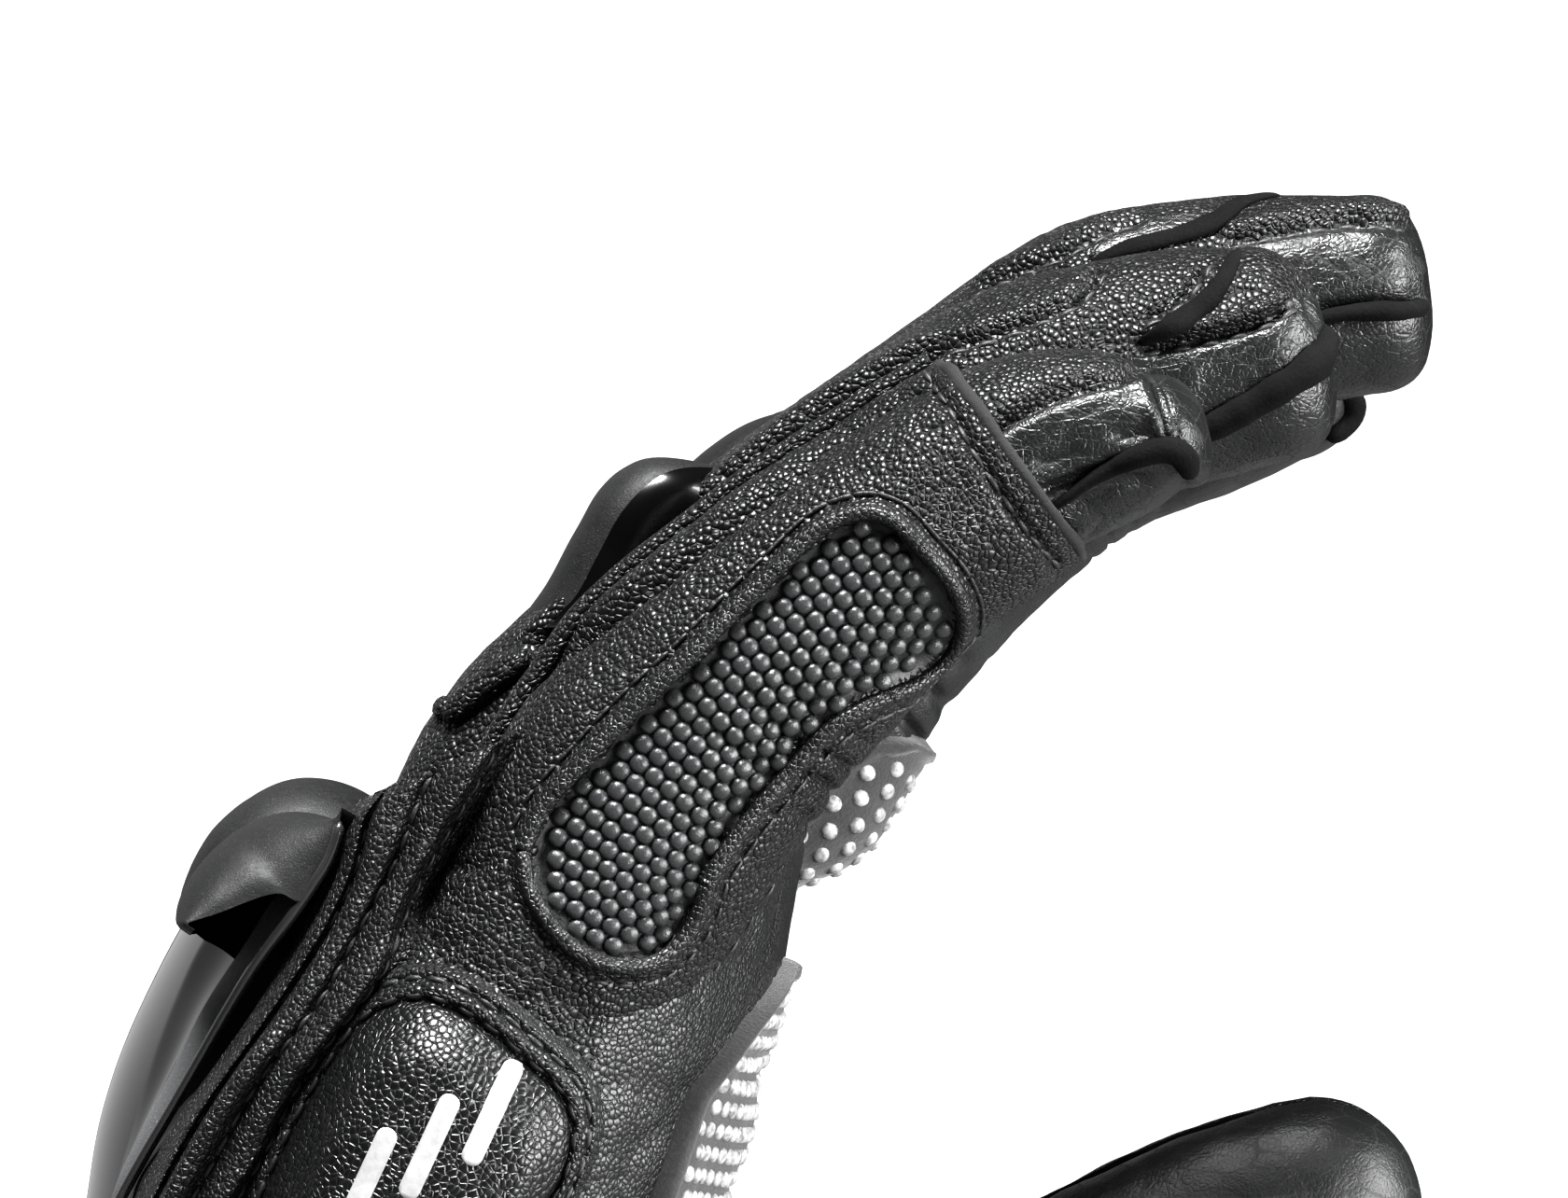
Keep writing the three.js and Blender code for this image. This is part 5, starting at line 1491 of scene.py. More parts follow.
def side_pad():
    """The pad's cover: a pillow with a sewn border, on spokes from its centre."""
    rim = 1.0
    share = np.concatenate([np.linspace(0.02, 0.76, 30), np.linspace(0.775, rim, 34)])
    e = pad_reach[None, :] * (rim - share[:, None])   # distance in from the border, near enough
    xz = PAD_CENTRE + (pad_rays * pad_reach[:, None])[None] * share[:, None, None]
    y = vec([[SIDE_SURFACE.near_y(*q) for q in row] for row in xz])
    for i in range(1, len(y)):
        y[i] = np.where(np.isnan(y[i]), y[i - 1], y[i])
    y = blur(y, 2.0)
    # the same kind of blur round the pad
    frequency = np.fft.fftfreq(PAD_SPOKES)[None] * 2 * np.pi
    y = np.real(np.fft.ifft(np.fft.fft(y, axis=1) * np.exp(-0.5 * (frequency * 3.0) ** 2),
                            axis=1))
    height = 0.35 + 1.15 * ease(e, 0.0, 0.9)                         # rolled border
    height = height - 0.30 * bell(e - 1.5, 0.30)                     # outer row of stitches
    height = height + 0.15 * ease(e, 1.7, 2.4)
    height = height - 0.85 * bell(e - 3.3, 0.42)                     # inner channel
    height = height + 2.3 * (1 - (1 - ease(e, 3.2, 9.5)) ** 1.6)     # pillow
    points = np.stack([xz[..., 0], y - height, xz[..., 1]], -1)
    normals = normals_facing(points, 20, 5, -ACROSS, wrap=True)
    soft = 0.22 * lumps(points, 7.0, 401) * ease(e, 3.5, 6)
    puckers = 0.30 * folds(points * vec([1, 1, 0.7]), 7.0, 405)
    puckers = puckers * ease(e, 3.4, 5) * (1 - ease(e, 7, 12))
    points = points + normals * (soft - puckers)[..., None]
    # a skirt sinks into the hand, a fan closes the centre
    grid = np.concatenate([points, points[-1:] + vec([0, 1.6, 0])])
    flat = np.vstack([grid.reshape(-1, 3), grid[0].mean(0)])
    flat_normals = np.vstack([np.concatenate([normals, normals[-1:]]).reshape(-1, 3), -ACROSS])
    rows = len(grid)
    quads = outward(grid_quads(rows, PAD_SPOKES, True), flat, flat_normals, PAD_SPOKES * 10)
    j = np.arange(PAD_SPOKES)
    fan = np.stack([np.full(PAD_SPOKES, len(flat) - 1), (j + 1) % PAD_SPOKES, j], 1)
    fan = outward(fan, flat, flat_normals, 0)
    band = e < 3.1
    band = np.concatenate([band, band[-1:]]).astype(float)
    band = ((band[:-1] + band[1:]) / 2).ravel() > 0.5
    index = np.concatenate([band.astype(int), np.zeros(len(fan), int)])
    build("side_pad_cover", flat, [quads, fan], [PAD_LEATHER, PEBBLED_WORN], "hand",
          ("ulnar_pad_cover", "ulnar_pad_foam"), index, flat_normals)
    return Surface(points)


def pad_bars(pad):
    """Three slanted reflective bars, printed on the pad."""
    length, width = 9.5, 1.9
    rows, columns = 41, 11
    along = unit(vec([0.42, 0.907]))
    sideways = vec([-along[1], along[0]])
    radius = width / 2
    bars = Batch()
    for centre in path(14.83, 160.42, 19.98, 163.19, 25.14, 165.96):
        grid, normals = np.zeros((rows, columns, 3)), np.zeros((rows, columns, 3))
        for i, s in enumerate(np.linspace(-length / 2, length / 2, rows)):
            end = length / 2 - abs(s)
            half = radius * math.sqrt(max(0.0, 1 - max(0, 1 - end / radius) ** 2)) + 0.01
            for j, w in enumerate(np.linspace(-1, 1, columns)):
                hit, n = pad.near(*(centre + along * s + sideways * w * half))
                border = j in (0, columns - 1) or i in (0, rows - 1)
                grid[i, j] = hit + n * (0.14 - 0.2 * border)
                normals[i, j] = n
        flat = grid.reshape(-1, 3)
        faces = grid_quads(rows, columns, False)
        bars.add(flat, outward(faces, flat, normals.reshape(-1, 3), 100))
    bars.build("side_pad_bars", REFLECTIVE, "hand", "grip_print")


PAD_SURFACE = side_pad()
for inset in (1.5, 3.0):
    ring = closed(PAD_CENTRE + pad_rays * (pad_reach - inset)[:, None])
    stitches(*PAD_SURFACE.near_line(ring, step=0.5), "hand")
pad_bars(PAD_SURFACE)

# ---------------------------------------------------------------- pleats beside the side pad
PLEAT_ROWS, PLEAT_COLUMNS = 230, 61
# Shape across the pleats, where 1, 2 and 3 are the cords: place, height, width
PLEAT_RIDGES = ((1.0, 1.0, 0.42), (2.0, 1.1, 0.40), (3.0, 0.8, 0.30))
PLEAT_VALLEYS = ((1.5, 0.9, 0.13), (2.45, 0.8, 0.10), (3.42, 0.5, 0.09))


def pleat_line(cord_line):
    """A cord's line with one point for each row of the sheet."""
    line = even_line(cord_line, 0.5)
    return lerp(np.linspace(0, 1, PLEAT_ROWS), arc(line) / arc(line)[-1], line)


def side_pleats():
    line_a, line_b, line_c = (pleat_line(c) for c in (CORD_A, CORD_B, CORD_C))
    inner = line_c + vec([3.4, 1.3])
    keys = np.stack([line_a - vec([1.6, 0.6]), line_a, line_b, line_c, inner], 1)
    y_inner = vec([SIDE_SURFACE.near_y(*q) for q in inner])
    y_inner[np.isnan(y_inner)] = -38.0
    y_inner = blur(y_inner, 6.0) - 0.1
    low = ease(np.linspace(0, 1, PLEAT_ROWS), 0.55, 1.0)
    y_keys = np.stack([-34.5 + 6.0 * low, -37.9 + 5.0 * low, -39.6 + 4.0 * low,
                       np.minimum(-41.2, y_inner - 0.6) + 2.5 * low, y_inner + 0.5], 0)
    v = np.linspace(0, 4, PLEAT_COLUMNS)
    xz = np.stack([lerp(v, range(5), row) for row in keys])
    y = spline(np.arange(5.0), y_keys, v).T
    points = np.stack([xz[..., 0], y, xz[..., 1]], -1)
    relief = sum(h * np.exp(-(np.abs(v - c) / w) ** 3) for c, h, w in PLEAT_RIDGES)
    relief = relief - sum(h * bell(v - c, w) for c, h, w in PLEAT_VALLEYS)
    rows = np.arange(PLEAT_ROWS)
    points[..., 1] -= relief * (1 + 0.25 * noise(points, 3.5, 57)) * ease(rows, 0, 8)[:, None]
    points = blur(points, 1.0)
    # the lower end tucks into the hand
    tuck = ease(rows, 203, 228)[:, None, None]
    points = points + (points[:, -1:] + vec([0, 4.0, 0]) - points) * tuck
    normals = normals_facing(points, 90, 30, -ACROSS)
    faces = grid_quads(PLEAT_ROWS, PLEAT_COLUMNS, False)
    faces = outward(faces, points.reshape(-1, 3), normals.reshape(-1, 3), 3000)
    build("hand_side_pleats", points.reshape(-1, 3), [faces], PEBBLED_FINE, "hand",
          normals=normals)

    # the same on the thumb side, its inner edge drawn to the hand there
    skin = HAND.points.reshape(-1, 3)
    skin = skin[skin[:, 1] > 5]
    far = points * vec([1.0, -1.0, 1.0])
    skin_y = []
    for q in far[:, -1]:
        square = (skin[:, 0] - q[0]) ** 2 + (skin[:, 2] - q[2]) ** 2
        skin_y.append(skin[np.argsort(square)[:60], 1].max())
    shift = blur(vec(skin_y), 8.0) - far[:, -1, 1] - 0.4
    far[..., 1] += shift[:, None] * (v[None] / 4.0) ** 1.5
    build("hand_side_pleats_far", far.reshape(-1, 3), [faces[:, ::-1]], PEBBLED_FINE, "hand",
          normals=normals_facing(far, 90, 30, ACROSS))
    for column in (22, 37, 51):
        line = points[4:-4, column] - vec([0, 0.1, 0])
        stitches(line, normals[4:-4, column], "hand", sink=0.0)


def ring_base_folds():
    """Small pull folds where the ring finger's leather meets the sleeve."""
    surface = Surface(TUBES["ring"].points, SLEEVE_OUTSIDE, HAND.points)
    for name, line, lift, soften, radius in (
            ("ring_base_fold", path(21.06, 197.65, 22.14, 198.88, 23.83, 200.27, 25.98, 201.96,
                                    27.98, 203.5), 0.5, 2.0, 1.35),
            ("ring_base_fold_b", path(18.29, 197.65, 19.22, 198.73, 20.6, 199.19,
                                      21.37, 198.27), 0.3, 1.0, 1.0)):
        points, normals = surface.near_line(line, step=0.5, lift=lift)
        cord(name, blur(points, soften), normals, radius, PEBBLED, FINGERS["ring"].bends[0],
             flat=0.75)


side_pleats()
ring_base_folds()

# ---------------------------------------------------------------- knuckle guard
# Rows (t, half width) for the edge; (t, n) for the crown and the levels down each side
GUARD_EDGE = [(-36, 7), (-34, 12), (-30, 18.5), (-24, 24.5), (-17, 29), (-8, 33.2), (0, 36),
              (6, 37.3), (10, 36.6), (12, 34.5), (14, 31), (18.8, 27)]
GUARD_CROWN = [(-36, 20.5), (-34, 22.0), (-30, 24.4), (-25, 26.0), (-18.9, 26.9), (-14, 27.4),
               (-8.5, 27.3), (-0.9, 26.2), (5.4, 24.7), (10.1, 23.0), (13.7, 20.0),
               (16.1, 16.0), (17.6, 12.5)]
GUARD_CREASE = [(-36, 19.8), (-34, 20.8), (-28, 22.6), (-17.6, 24.2), (-11.8, 24.1),
                (-7.5, 24.0), (-1.8, 23.5), (3.4, 22.6), (5.1, 22.1), (10, 19.5), (17.6, 12)]
GUARD_BAND_TOP = [(-36, 19.6), (-34, 20.6), (-28, 22.2), (-18.1, 24.0), (-14.2, 23.5),
                  (-7.2, 22.0), (-1.1, 20.8), (4.6, 18.9), (9.96, 17.1), (17.6, 11)]
GUARD_BAND_FOOT = [(-36, 19.4), (-34, 20.2), (-28, 21.6), (-17.9, 23.2), (-15.2, 22.6),
                   (-10, 21.2), (-6, 20.2), (-0.8, 18.8), (3.8, 17.5), (8.5, 15.8),
                   (17.6, 10.5)]
GUARD_FLANGE = [(-36, 18.2), (-34, 19.2), (-28, 20.6), (-16.7, 21.9), (-10.4, 19.6),
                (-4.4, 17.3), (1.3, 15.2), (7.2, 13.5), (12, 12.7), (17.6, 9.5)]
# Shares of the half width where the crown, slope, band, drop and flange end
CROWN_END, SLOPE_END, BAND_END, DROP_END, FLANGE_END = .635, .80, .89, .93, 1.0
SHELL_ROWS = 190


def guard_height(w, crown, crease, band_top, band_foot, flange):
    """Heights n along the shell at the share w of its half width."""
    if w <= CROWN_END:
        return crown + (crease - crown) * (w / CROWN_END) ** 2.5
    if w <= SLOPE_END:
        u = (w - CROWN_END) / (SLOPE_END - CROWN_END)
        hollow = 0.35 * np.clip(np.sin(np.pi * u), 0, 1) ** 1.2
        return crease + (band_top - crease) * u - hollow
    if w <= BAND_END:
        u = (w - SLOPE_END) / (BAND_END - SLOPE_END)
        bulge = 0.55 * np.clip(np.sin(np.pi * u), 0, 1) ** 0.5
        return band_top + (band_foot - band_top) * u + bulge
    if w <= DROP_END:
        u = (w - BAND_END) / (DROP_END - BAND_END)
        return band_foot + (flange + 1.1 - band_foot) * np.clip(u, 0, 1) ** 0.7 - 0.5 * u
    if w <= FLANGE_END:
        u = (w - DROP_END) / (FLANGE_END - DROP_END)
        return flange + 0.6 - 0.6 * u ** 3
    return flange - (0.5 if w < 1.005 else 0.8)


def knuckle_shell():
    t = np.linspace(-36, 16.5, SHELL_ROWS)
    share = np.concatenate([np.linspace(0, .60, 34), np.linspace(.61, .66, 6),
                            np.linspace(.672, .79, 12), np.linspace(.80, .885, 9),
                            np.linspace(.892, .925, 5), np.linspace(.94, 1.0, 7),
                            [1.004, 1.006]])
    out = share.copy()
    out[-2:] = (0.992, 0.93)   # the last two columns turn in under the flange
    levels = [from_table(t, table) for table in (GUARD_CROWN, GUARD_CREASE, GUARD_BAND_TOP,
                                                 GUARD_BAND_FOOT, GUARD_FLANGE)]
    height = blur(np.stack([guard_height(w, *levels) for w in share], 1), 1.2)
    # both halves, sharing the middle column
    height = np.concatenate([height[:, ::-1], height[:, 1:]], 1)
    share = np.concatenate([-share[::-1], share[1:]])
    out = np.concatenate([-out[::-1], out[1:]])
    y = out[None] * from_table(t, GUARD_EDGE)[:, None]
    points = on_hand(t[:, None], height, y)
    middle = len(share) // 2
    facing = normals_facing(points, 90, middle, BACK)
    # the crown sinks under the caps at its finger end
    sink = ease(t, 4.8, 7.5)[:, None] * (1 - ease(np.abs(share), .66, .76))[None]
    points = points - facing * (1.2 * sink)[..., None]
    mid_share = (np.abs(share[:-1]) + np.abs(share[1:])) / 2
    band = (mid_share > SLOPE_END) & (mid_share < .887)
    index = np.tile(np.where(mid_share >= .932, 2, np.where(band, 1, 0)), SHELL_ROWS - 1)
    build_sheet("knuckle_shell", points, facing, 5000, [GLOSS, MATTE_BAND_PAINTED_LIGHT, GLOSS_RIM], "hand",
                ("knuckle_guard_shell", "knuckle_guard_base",
                               "knuckle_guard_foam"),
                index, normals_facing(points, 90, middle, BACK))


def knuckle_padding():
    """Padding block under the shell and the caps, with a rounded finger end."""
    t = np.concatenate([np.linspace(-26, 13.6, 60), [14.2, 14.5, 14.6, 14.5, 14.2]])
    w = np.sin(np.linspace(-1, 1, 61) * np.pi / 2)
    edge = from_table(t, GUARD_EDGE)
    crown, flange = (from_table(np.minimum(t, 12.5), k) for k in (GUARD_CROWN, GUARD_FLANGE))
    n = flange[:, None] - 0.6 + (crown - flange)[:, None] * 0.62 * (1 - np.abs(w[None]) ** 2.4)
    end_scale = vec([[0.97], [0.86], [0.62], [0.36], [0.12]])
    n[-5:] = n[-6] * end_scale + vec([[0.1], [0.4], [0.8], [1.0], [1.2]])
    foot = np.full((len(t), 1), 2.0)
    n = np.concatenate([foot, n[:, :1] - 1.0, n, n[:, -1:] - 1.0, foot], 1)
    y = np.concatenate([[-0.90, -0.905], w * 0.90, [0.905, 0.90]])[None] * edge[:, None]
    points = on_hand(t[:, None], n, y)
    build_sheet("knuckle_padding", points, normals_facing(points, 30, 30, BACK),
                30 * (points.shape[1] - 1) + 30, DARK_RUBBER, "hand")


RIM_LINE = path(12.45, 189.81, 12.14, 188.42, 11.52, 186.73, 10.14, 184.42, 8.45, 181.96,
                5.68, 178.27, 3.14, 174.19, 0.45, 169.5, -1.63, 165.88, -4.32, 161.35,
                -6.02, 158.27, -7.48, 155.19)


def shell_rims():
    """Glossy rolled rim along each side of the shell."""
    line = even_line(RIM_LINE, 0.6)
    half = np.interp(to_hand(line)[:, 0], [-20, -8, 0, 8, 12, 18],
                     [26.0, 31.5, 34.0, 36.4, 37.0, 37.0]) + 0.3
    for side, name in ((-1, "near"), (1, "far")):
        points = np.stack([line[:, 0], side * half, line[:, 1]], 1)
        # the rim's lighter grey is a painted reflection
        cord("shell_rim_" + name, points, np.repeat(side * ACROSS[None], len(points), 0), 0.5,
             RIM_PAINTED_REFLECTION, "hand", "hard_shell", sides=12)


# Four soft caps on the finger end. Profile over each cap: (t, n)
CAP_PROFILE = [(4.2, 24.9), (6.5, 25.3), (8.6, 24.95), (10.6, 24.1), (12.4, 23.0), (14.0, 21.7),
               (15.2, 20.3), (16.1, 18.5), (16.55, 16.4), (16.5, 14.2), (16.0, 12.0),
               (15.2, 10.0)]
# Foot of the side wall of the two outer caps (x, z)
CAP_WALL = path(-0.78, 181.19, 0.75, 181.65, 2.45, 182.19, 4.6, 183.04, 6.37, 183.65,
                7.75, 183.81, 8.91, 183.04, 10.06, 184.35, 10.98, 185.96, 11.75, 187.5,
                12.29, 189.19, 12.6, 190.88)
# name, centre y, half width, shift in t, shift in n, side with the wall (0 for none)
CAPS = [("pinky", -25.2, 12.2, 0.0, 0.0, -1), ("ring", -8.2, 10.0, 2.3, 0.4, 0),
        ("middle", 9.4, 10.0, 2.6, 0.3, 0), ("index", 26.6, 12.0, 0.9, -0.2, 1)]
CAP_ROWS = 60
# Rows of the end wall under the cap: step along, step towards the back
CAP_END_WALL = [(-0.35, -1.4), (-0.8, -3.0), (-1.3, -5.2), (-1.9, -7.6), (-2.7, -10.0)]


def knuckle_cap(name, y, half, shift_t, shift_n, wall_side):
    profile = vec(CAP_PROFILE[:-2] if wall_side else CAP_PROFILE) + vec([shift_t, shift_n])
    profile[:3, 0] -= shift_t * vec([1.0, 0.6, 0.3])
    s = arc(profile)
    at = np.linspace(0, s[-1], CAP_ROWS)
    ridge = blur(spline(s, profile, at), 1.0)
    tangent = unit(np.gradient(ridge, axis=0))
    inward = np.stack([-tangent[:, 1], tangent[:, 0]], 1)
    inward = inward * np.sign(((vec([4.0, 12.0]) - ridge) * inward).sum(1))[:, None]
    valley = ridge + inward * (6.5 - 1.0 * (1 - ease(at, 0, 5)))[:, None]
    wall = to_hand(CAP_WALL)
    s = arc(wall)
    wall = blur(spline(s, wall, np.linspace(0, 1, CAP_ROWS) * s[-1]), 1.2)
    sides = []
    for side in (-1, 1):
        foot, reach = (wall, half) if wall_side == side else (valley, half * 0.98)
        columns = []
        for k in np.linspace(0, 1, 26):
            angle = k * np.pi / 2
            column_y = y + side * reach * math.sin(angle) ** 0.85
            down = foot + (ridge - foot) * math.cos(angle) ** 0.72
            columns.append(np.concatenate([down, np.full((CAP_ROWS, 1), column_y)], 1))
        sides.append(columns)
    grid = np.stack(sides[0][::-1] + sides[1][1:], 1)
    points = on_hand(grid[..., 0], grid[..., 1], grid[..., 2])
    # tucked lip along the first edge
    for row, drop in enumerate((1.3, 0.4, 0.08)):
        points[row] -= BACK * drop
    normals = normals_facing(points, 20, 25, BACK)
    points = points + normals * (0.10 * lumps(points, 5.0, 501))[..., None]
    low = [points[-1] + ALONG * a + BACK * b for a, b in CAP_END_WALL]
    points = np.concatenate([points, np.stack(low)], 0)
    normals = normals_facing(points, 20, 25, BACK)
    build_sheet(f"knuckle_cap_soft_{name}", points, normals, 20 * (points.shape[1] - 1) + 25,
                RUBBER, "hand", ("knuckle_cap_" + name,), normals=normals)


knuckle_shell()
knuckle_padding()
shell_rims()
for cap in CAPS:
    knuckle_cap(*cap)


# ---------------------------------------------------------------- sliders on three fingers' backs
def slider(finger_name, profile, half, mat):
    """A low ramp along a finger's back. profile = (distance from the knuckle joint, height)."""
    surface, finger = FINGER_SURFACES[finger_name], FINGERS[finger_name]
    rows, columns = 56, 33
    profile = vec(profile, float)
    along = np.linspace(profile[0, 0], profile[-1, 0], rows)
    height = blur(spline(profile[:, 0], profile[:, 1], along), 1.0)
    w = np.linspace(-1, 1, columns)
    base, up = np.zeros((rows, columns, 3)), np.zeros((rows, columns, 3))
    for i, s in enumerate(along):
        centre = finger.joints[0] + finger.directions[0] * s
        from_end = min(i, rows - 1 - i) / rows
        wide = half * (0.62 + 0.38 * min(1, (from_end / 0.14)) ** 0.5)
        for j, v in enumerate(w):
            angle = v * wide / 12.0
            d = finger.back * math.cos(angle) + finger.across * math.sin(angle)
            hit, _ = surface.cast(centre + d * 30, -d)
            base[i, j] = centre + d * 11 if hit is None else hit
            fall = (1 - abs(v) ** 5) ** 0.6
            up[i, j] = unit(d) * (height[i] * fall - 0.25)
    points = blur(blur(base, 5.0, 0), 2.5, 1) + up
    normals = normals_facing(points, rows // 2, columns // 2, finger.back)
    index = np.tile((np.abs((w[:-1] + w[1:]) / 2) > 0.74).astype(int), rows - 1)
    build_sheet(f"{finger_name}_slider_cap", points, normals, 600, [mat, GLOSS_RIM],
                finger.bends[1], (f"{finger_name}_knuckle_slider",), index,
                normals)


slider("ring", [(28, 0.1), (31, 0.9), (36.5, 3.2), (40.5, 4.6), (43, 4.7), (45.2, 3.8),
                (46.6, 2.0), (47.6, 0.1)], half=7.6, mat=RUBBER)
slider("middle", [(38, 0.1), (42, 0.8), (47, 1.1), (51, 0.9), (54, 0.1)], half=8.0,
       mat=DARK_RUBBER)
slider("index", [(32, 0.1), (36, 1.6), (40, 2.4), (43.5, 2.0), (46.5, 0.1)], half=8.0,
       mat=DARK_RUBBER)


# ---------------------------------------------------------------- piping round the guard
def guard_piping(side, offset, radius):
    """Piping on the back of the hand, `offset` mm out from the guard's edge."""
    points, normals = [], []
    for t in np.linspace(11 if side > 0 else -7, -36.6, 70):
        half = float(from_table(vec([max(t, -36.0)]), GUARD_EDGE)[0]) + offset
        start = on_hand(t - offset * (1 - ease(t, -36, -22)), 60.0, side * half)
        hit, n = HAND_SURFACE.cast(start, -BACK)
        if hit is not None:
            points.append(hit + n * 0.35)
            normals.append(n)
    points, normals = blur(vec(points), 2.0), blur(vec(normals), 3.0)
    name = f"guard_piping_{'near' if side < 0 else 'far'}_{int(offset)}"
    cord(name, points, normals, radius, PEBBLED_FINE, "hand", flat=0.8)
    return points, normals


for side in (-1, 1):
    points, normals = guard_piping(side, offset=1.7, radius=0.95)
    out = unit(np.cross(unit(np.gradient(points, axis=0)), normals))
    out = out * np.sign((out * (side * ACROSS)).sum(1).mean())
    stitches(points + out * 1.5 - normals * 0.25, normals, "hand")
    guard_piping(side, offset=4.3, radius=0.85)

# ---------------------------------------------------------------- thumb
THUMB_JOINTS = [vec([9.0, 24, 104]), vec([40.0, 41, 127]), vec([67.0, 46, 141]),
                vec([101.5, 48, 161])]
THUMB_BONES = [unit(b - a) for a, b in zip(THUMB_JOINTS, THUMB_JOINTS[1:])]
# Centre line x, y, z, with half widths and half thicknesses at its points
THUMB_LINE = vec([[14, 26.5, 108], [26, 33.5, 117], [40, 41, 127], [54, 43.8, 134.6],
                  [67, 46, 141.2], [80, 47, 148.6], [89, 47.5, 153.0], [94.5, 47.8, 154.9]])
THUMB_WIDE = [18.0, 16.4, 13.8, 12.4, 11.5, 11.1, 10.7, 10.2]
THUMB_THICK = [15.5, 14.6, 13.2, 12.0, 11.2, 10.9, 10.4, 9.8]
THUMB_CAP = 9.6
THUMB_POWER = 2.3


def thumb():
    s = arc(THUMB_LINE)
    t = np.linspace(0, s[-1], int(s[-1] / 0.5))
    centres = blur(spline(s, THUMB_LINE, t), 3.0)
    wide, thick = (blur(np.interp(t, s, v), 5.0) for v in (THUMB_WIDE, THUMB_THICK))
    d = unit(np.gradient(centres, axis=0))
    bone = THUMB_BONES[1]
    back = unit(np.cross(d, unit(vec([bone[2], 0, -bone[0]]))))
    along, across = round_end(2.2)
    axis = unit(d[-1] + vec([0.1, 0, -0.22]))
    centres = np.vstack([centres, centres[-1] + np.outer(along * THUMB_CAP, axis)])
    back = np.vstack([back, np.repeat(back[-1:], len(along), 0)])
    d = np.vstack([d, np.repeat(axis[None], len(along), 0)])
    wide, thick = (np.concatenate([v, v[-1] * across]) for v in (wide, thick))
    sideways = np.cross(back, d)
    tube = Tube(superellipses(centres, sideways, back, wide, wide, thick, THUMB_POWER,
                              ring_angles(150, THUMB_POWER, 1.05)), centres, back)
    on_back = ease(tube.facing_back(), -0.2, 0.5)
    knuckle, last_joint = (tube.along[int(np.argmin(np.linalg.norm(centres - j, axis=1)))]
                           for j in THUMB_JOINTS[1:3])
    relief = 0.3 * lumps(tube.points, 9.0, 601)
    for at, spread, depth, spacing in ((knuckle, 9, 1.3, 4.8), (last_joint, 6.5, 1.0, 3.8)):
        relief = relief + creases(tube, at, spread, depth, spacing, 611, 1 - on_back)
        relief = relief + creases(tube, at, spread * 0.8, depth * 0.5, spacing * 0.8, 617,
                                  on_back)
    tube.push(relief)
    # a pinched seam down each side of the thumb and round its end
    side_cos = (tube.normals * sideways[:, None]).sum(2)
    back_cos = tube.facing_back()
    tube.push(-0.55 * bell(back_cos + 0.1, 0.07) * ease(tube.along, 12, 20)[:, None])
    tube.add_grain(0.08, 1.9, 621)
    last = len(tube.points) - 1
    cut = int(np.argmin(np.abs(tube.along - (knuckle + last_joint) / 2)))
    zone = (back_cos < -0.1).astype(float)
    j, b = THUMB_JOINTS, THUMB_BONES
    tube_piece(tube, "thumb_skin_root", 0, cut, [PEBBLED, PLAIN],
               ("hand", "thumb_proximal", j[1] - b[0] * 9, j[1] + b[1] * 9), zone,
               ("thumb_root_sleeve", "thumb_proximal_sleeve"))
    tube_piece(tube, "thumb_skin_end", cut, last, [PEBBLED, PLAIN],
               ("thumb_proximal", "thumb_distal", j[2] - b[1] * 8, j[2] + b[2] * 8), zone,
               ("thumb_tip_back", "thumb_tip_palm"), close=True)
    for side, name in ((-1, "near"), (1, "far")):
        line, normals = [], []
        for i in range(int(np.searchsorted(tube.along, last_joint + 6)), last - 3):
            k = np.argmin(np.abs(back_cos[i] + 0.1) + 10 * (side_cos[i] * side < 0))
            line.append(tube.points[i, k])
            normals.append(tube.normals[i, k])
        line, normals = blur(vec(line), 2.0), blur(vec(normals), 2.0)
        cord("thumb_seam_" + name, line, normals, 0.7, CUT_EDGE, "thumb_distal",
             "smooth_leather", flat=0.8)
        stitches(line + back[last // 2] * 1.9, normals, "thumb_distal", sink=0.25)


thumb()

# ---------------------------------------------------------------- straps and patches on the cuff
CUFF_SURFACE = Surface(HAND_BASE)


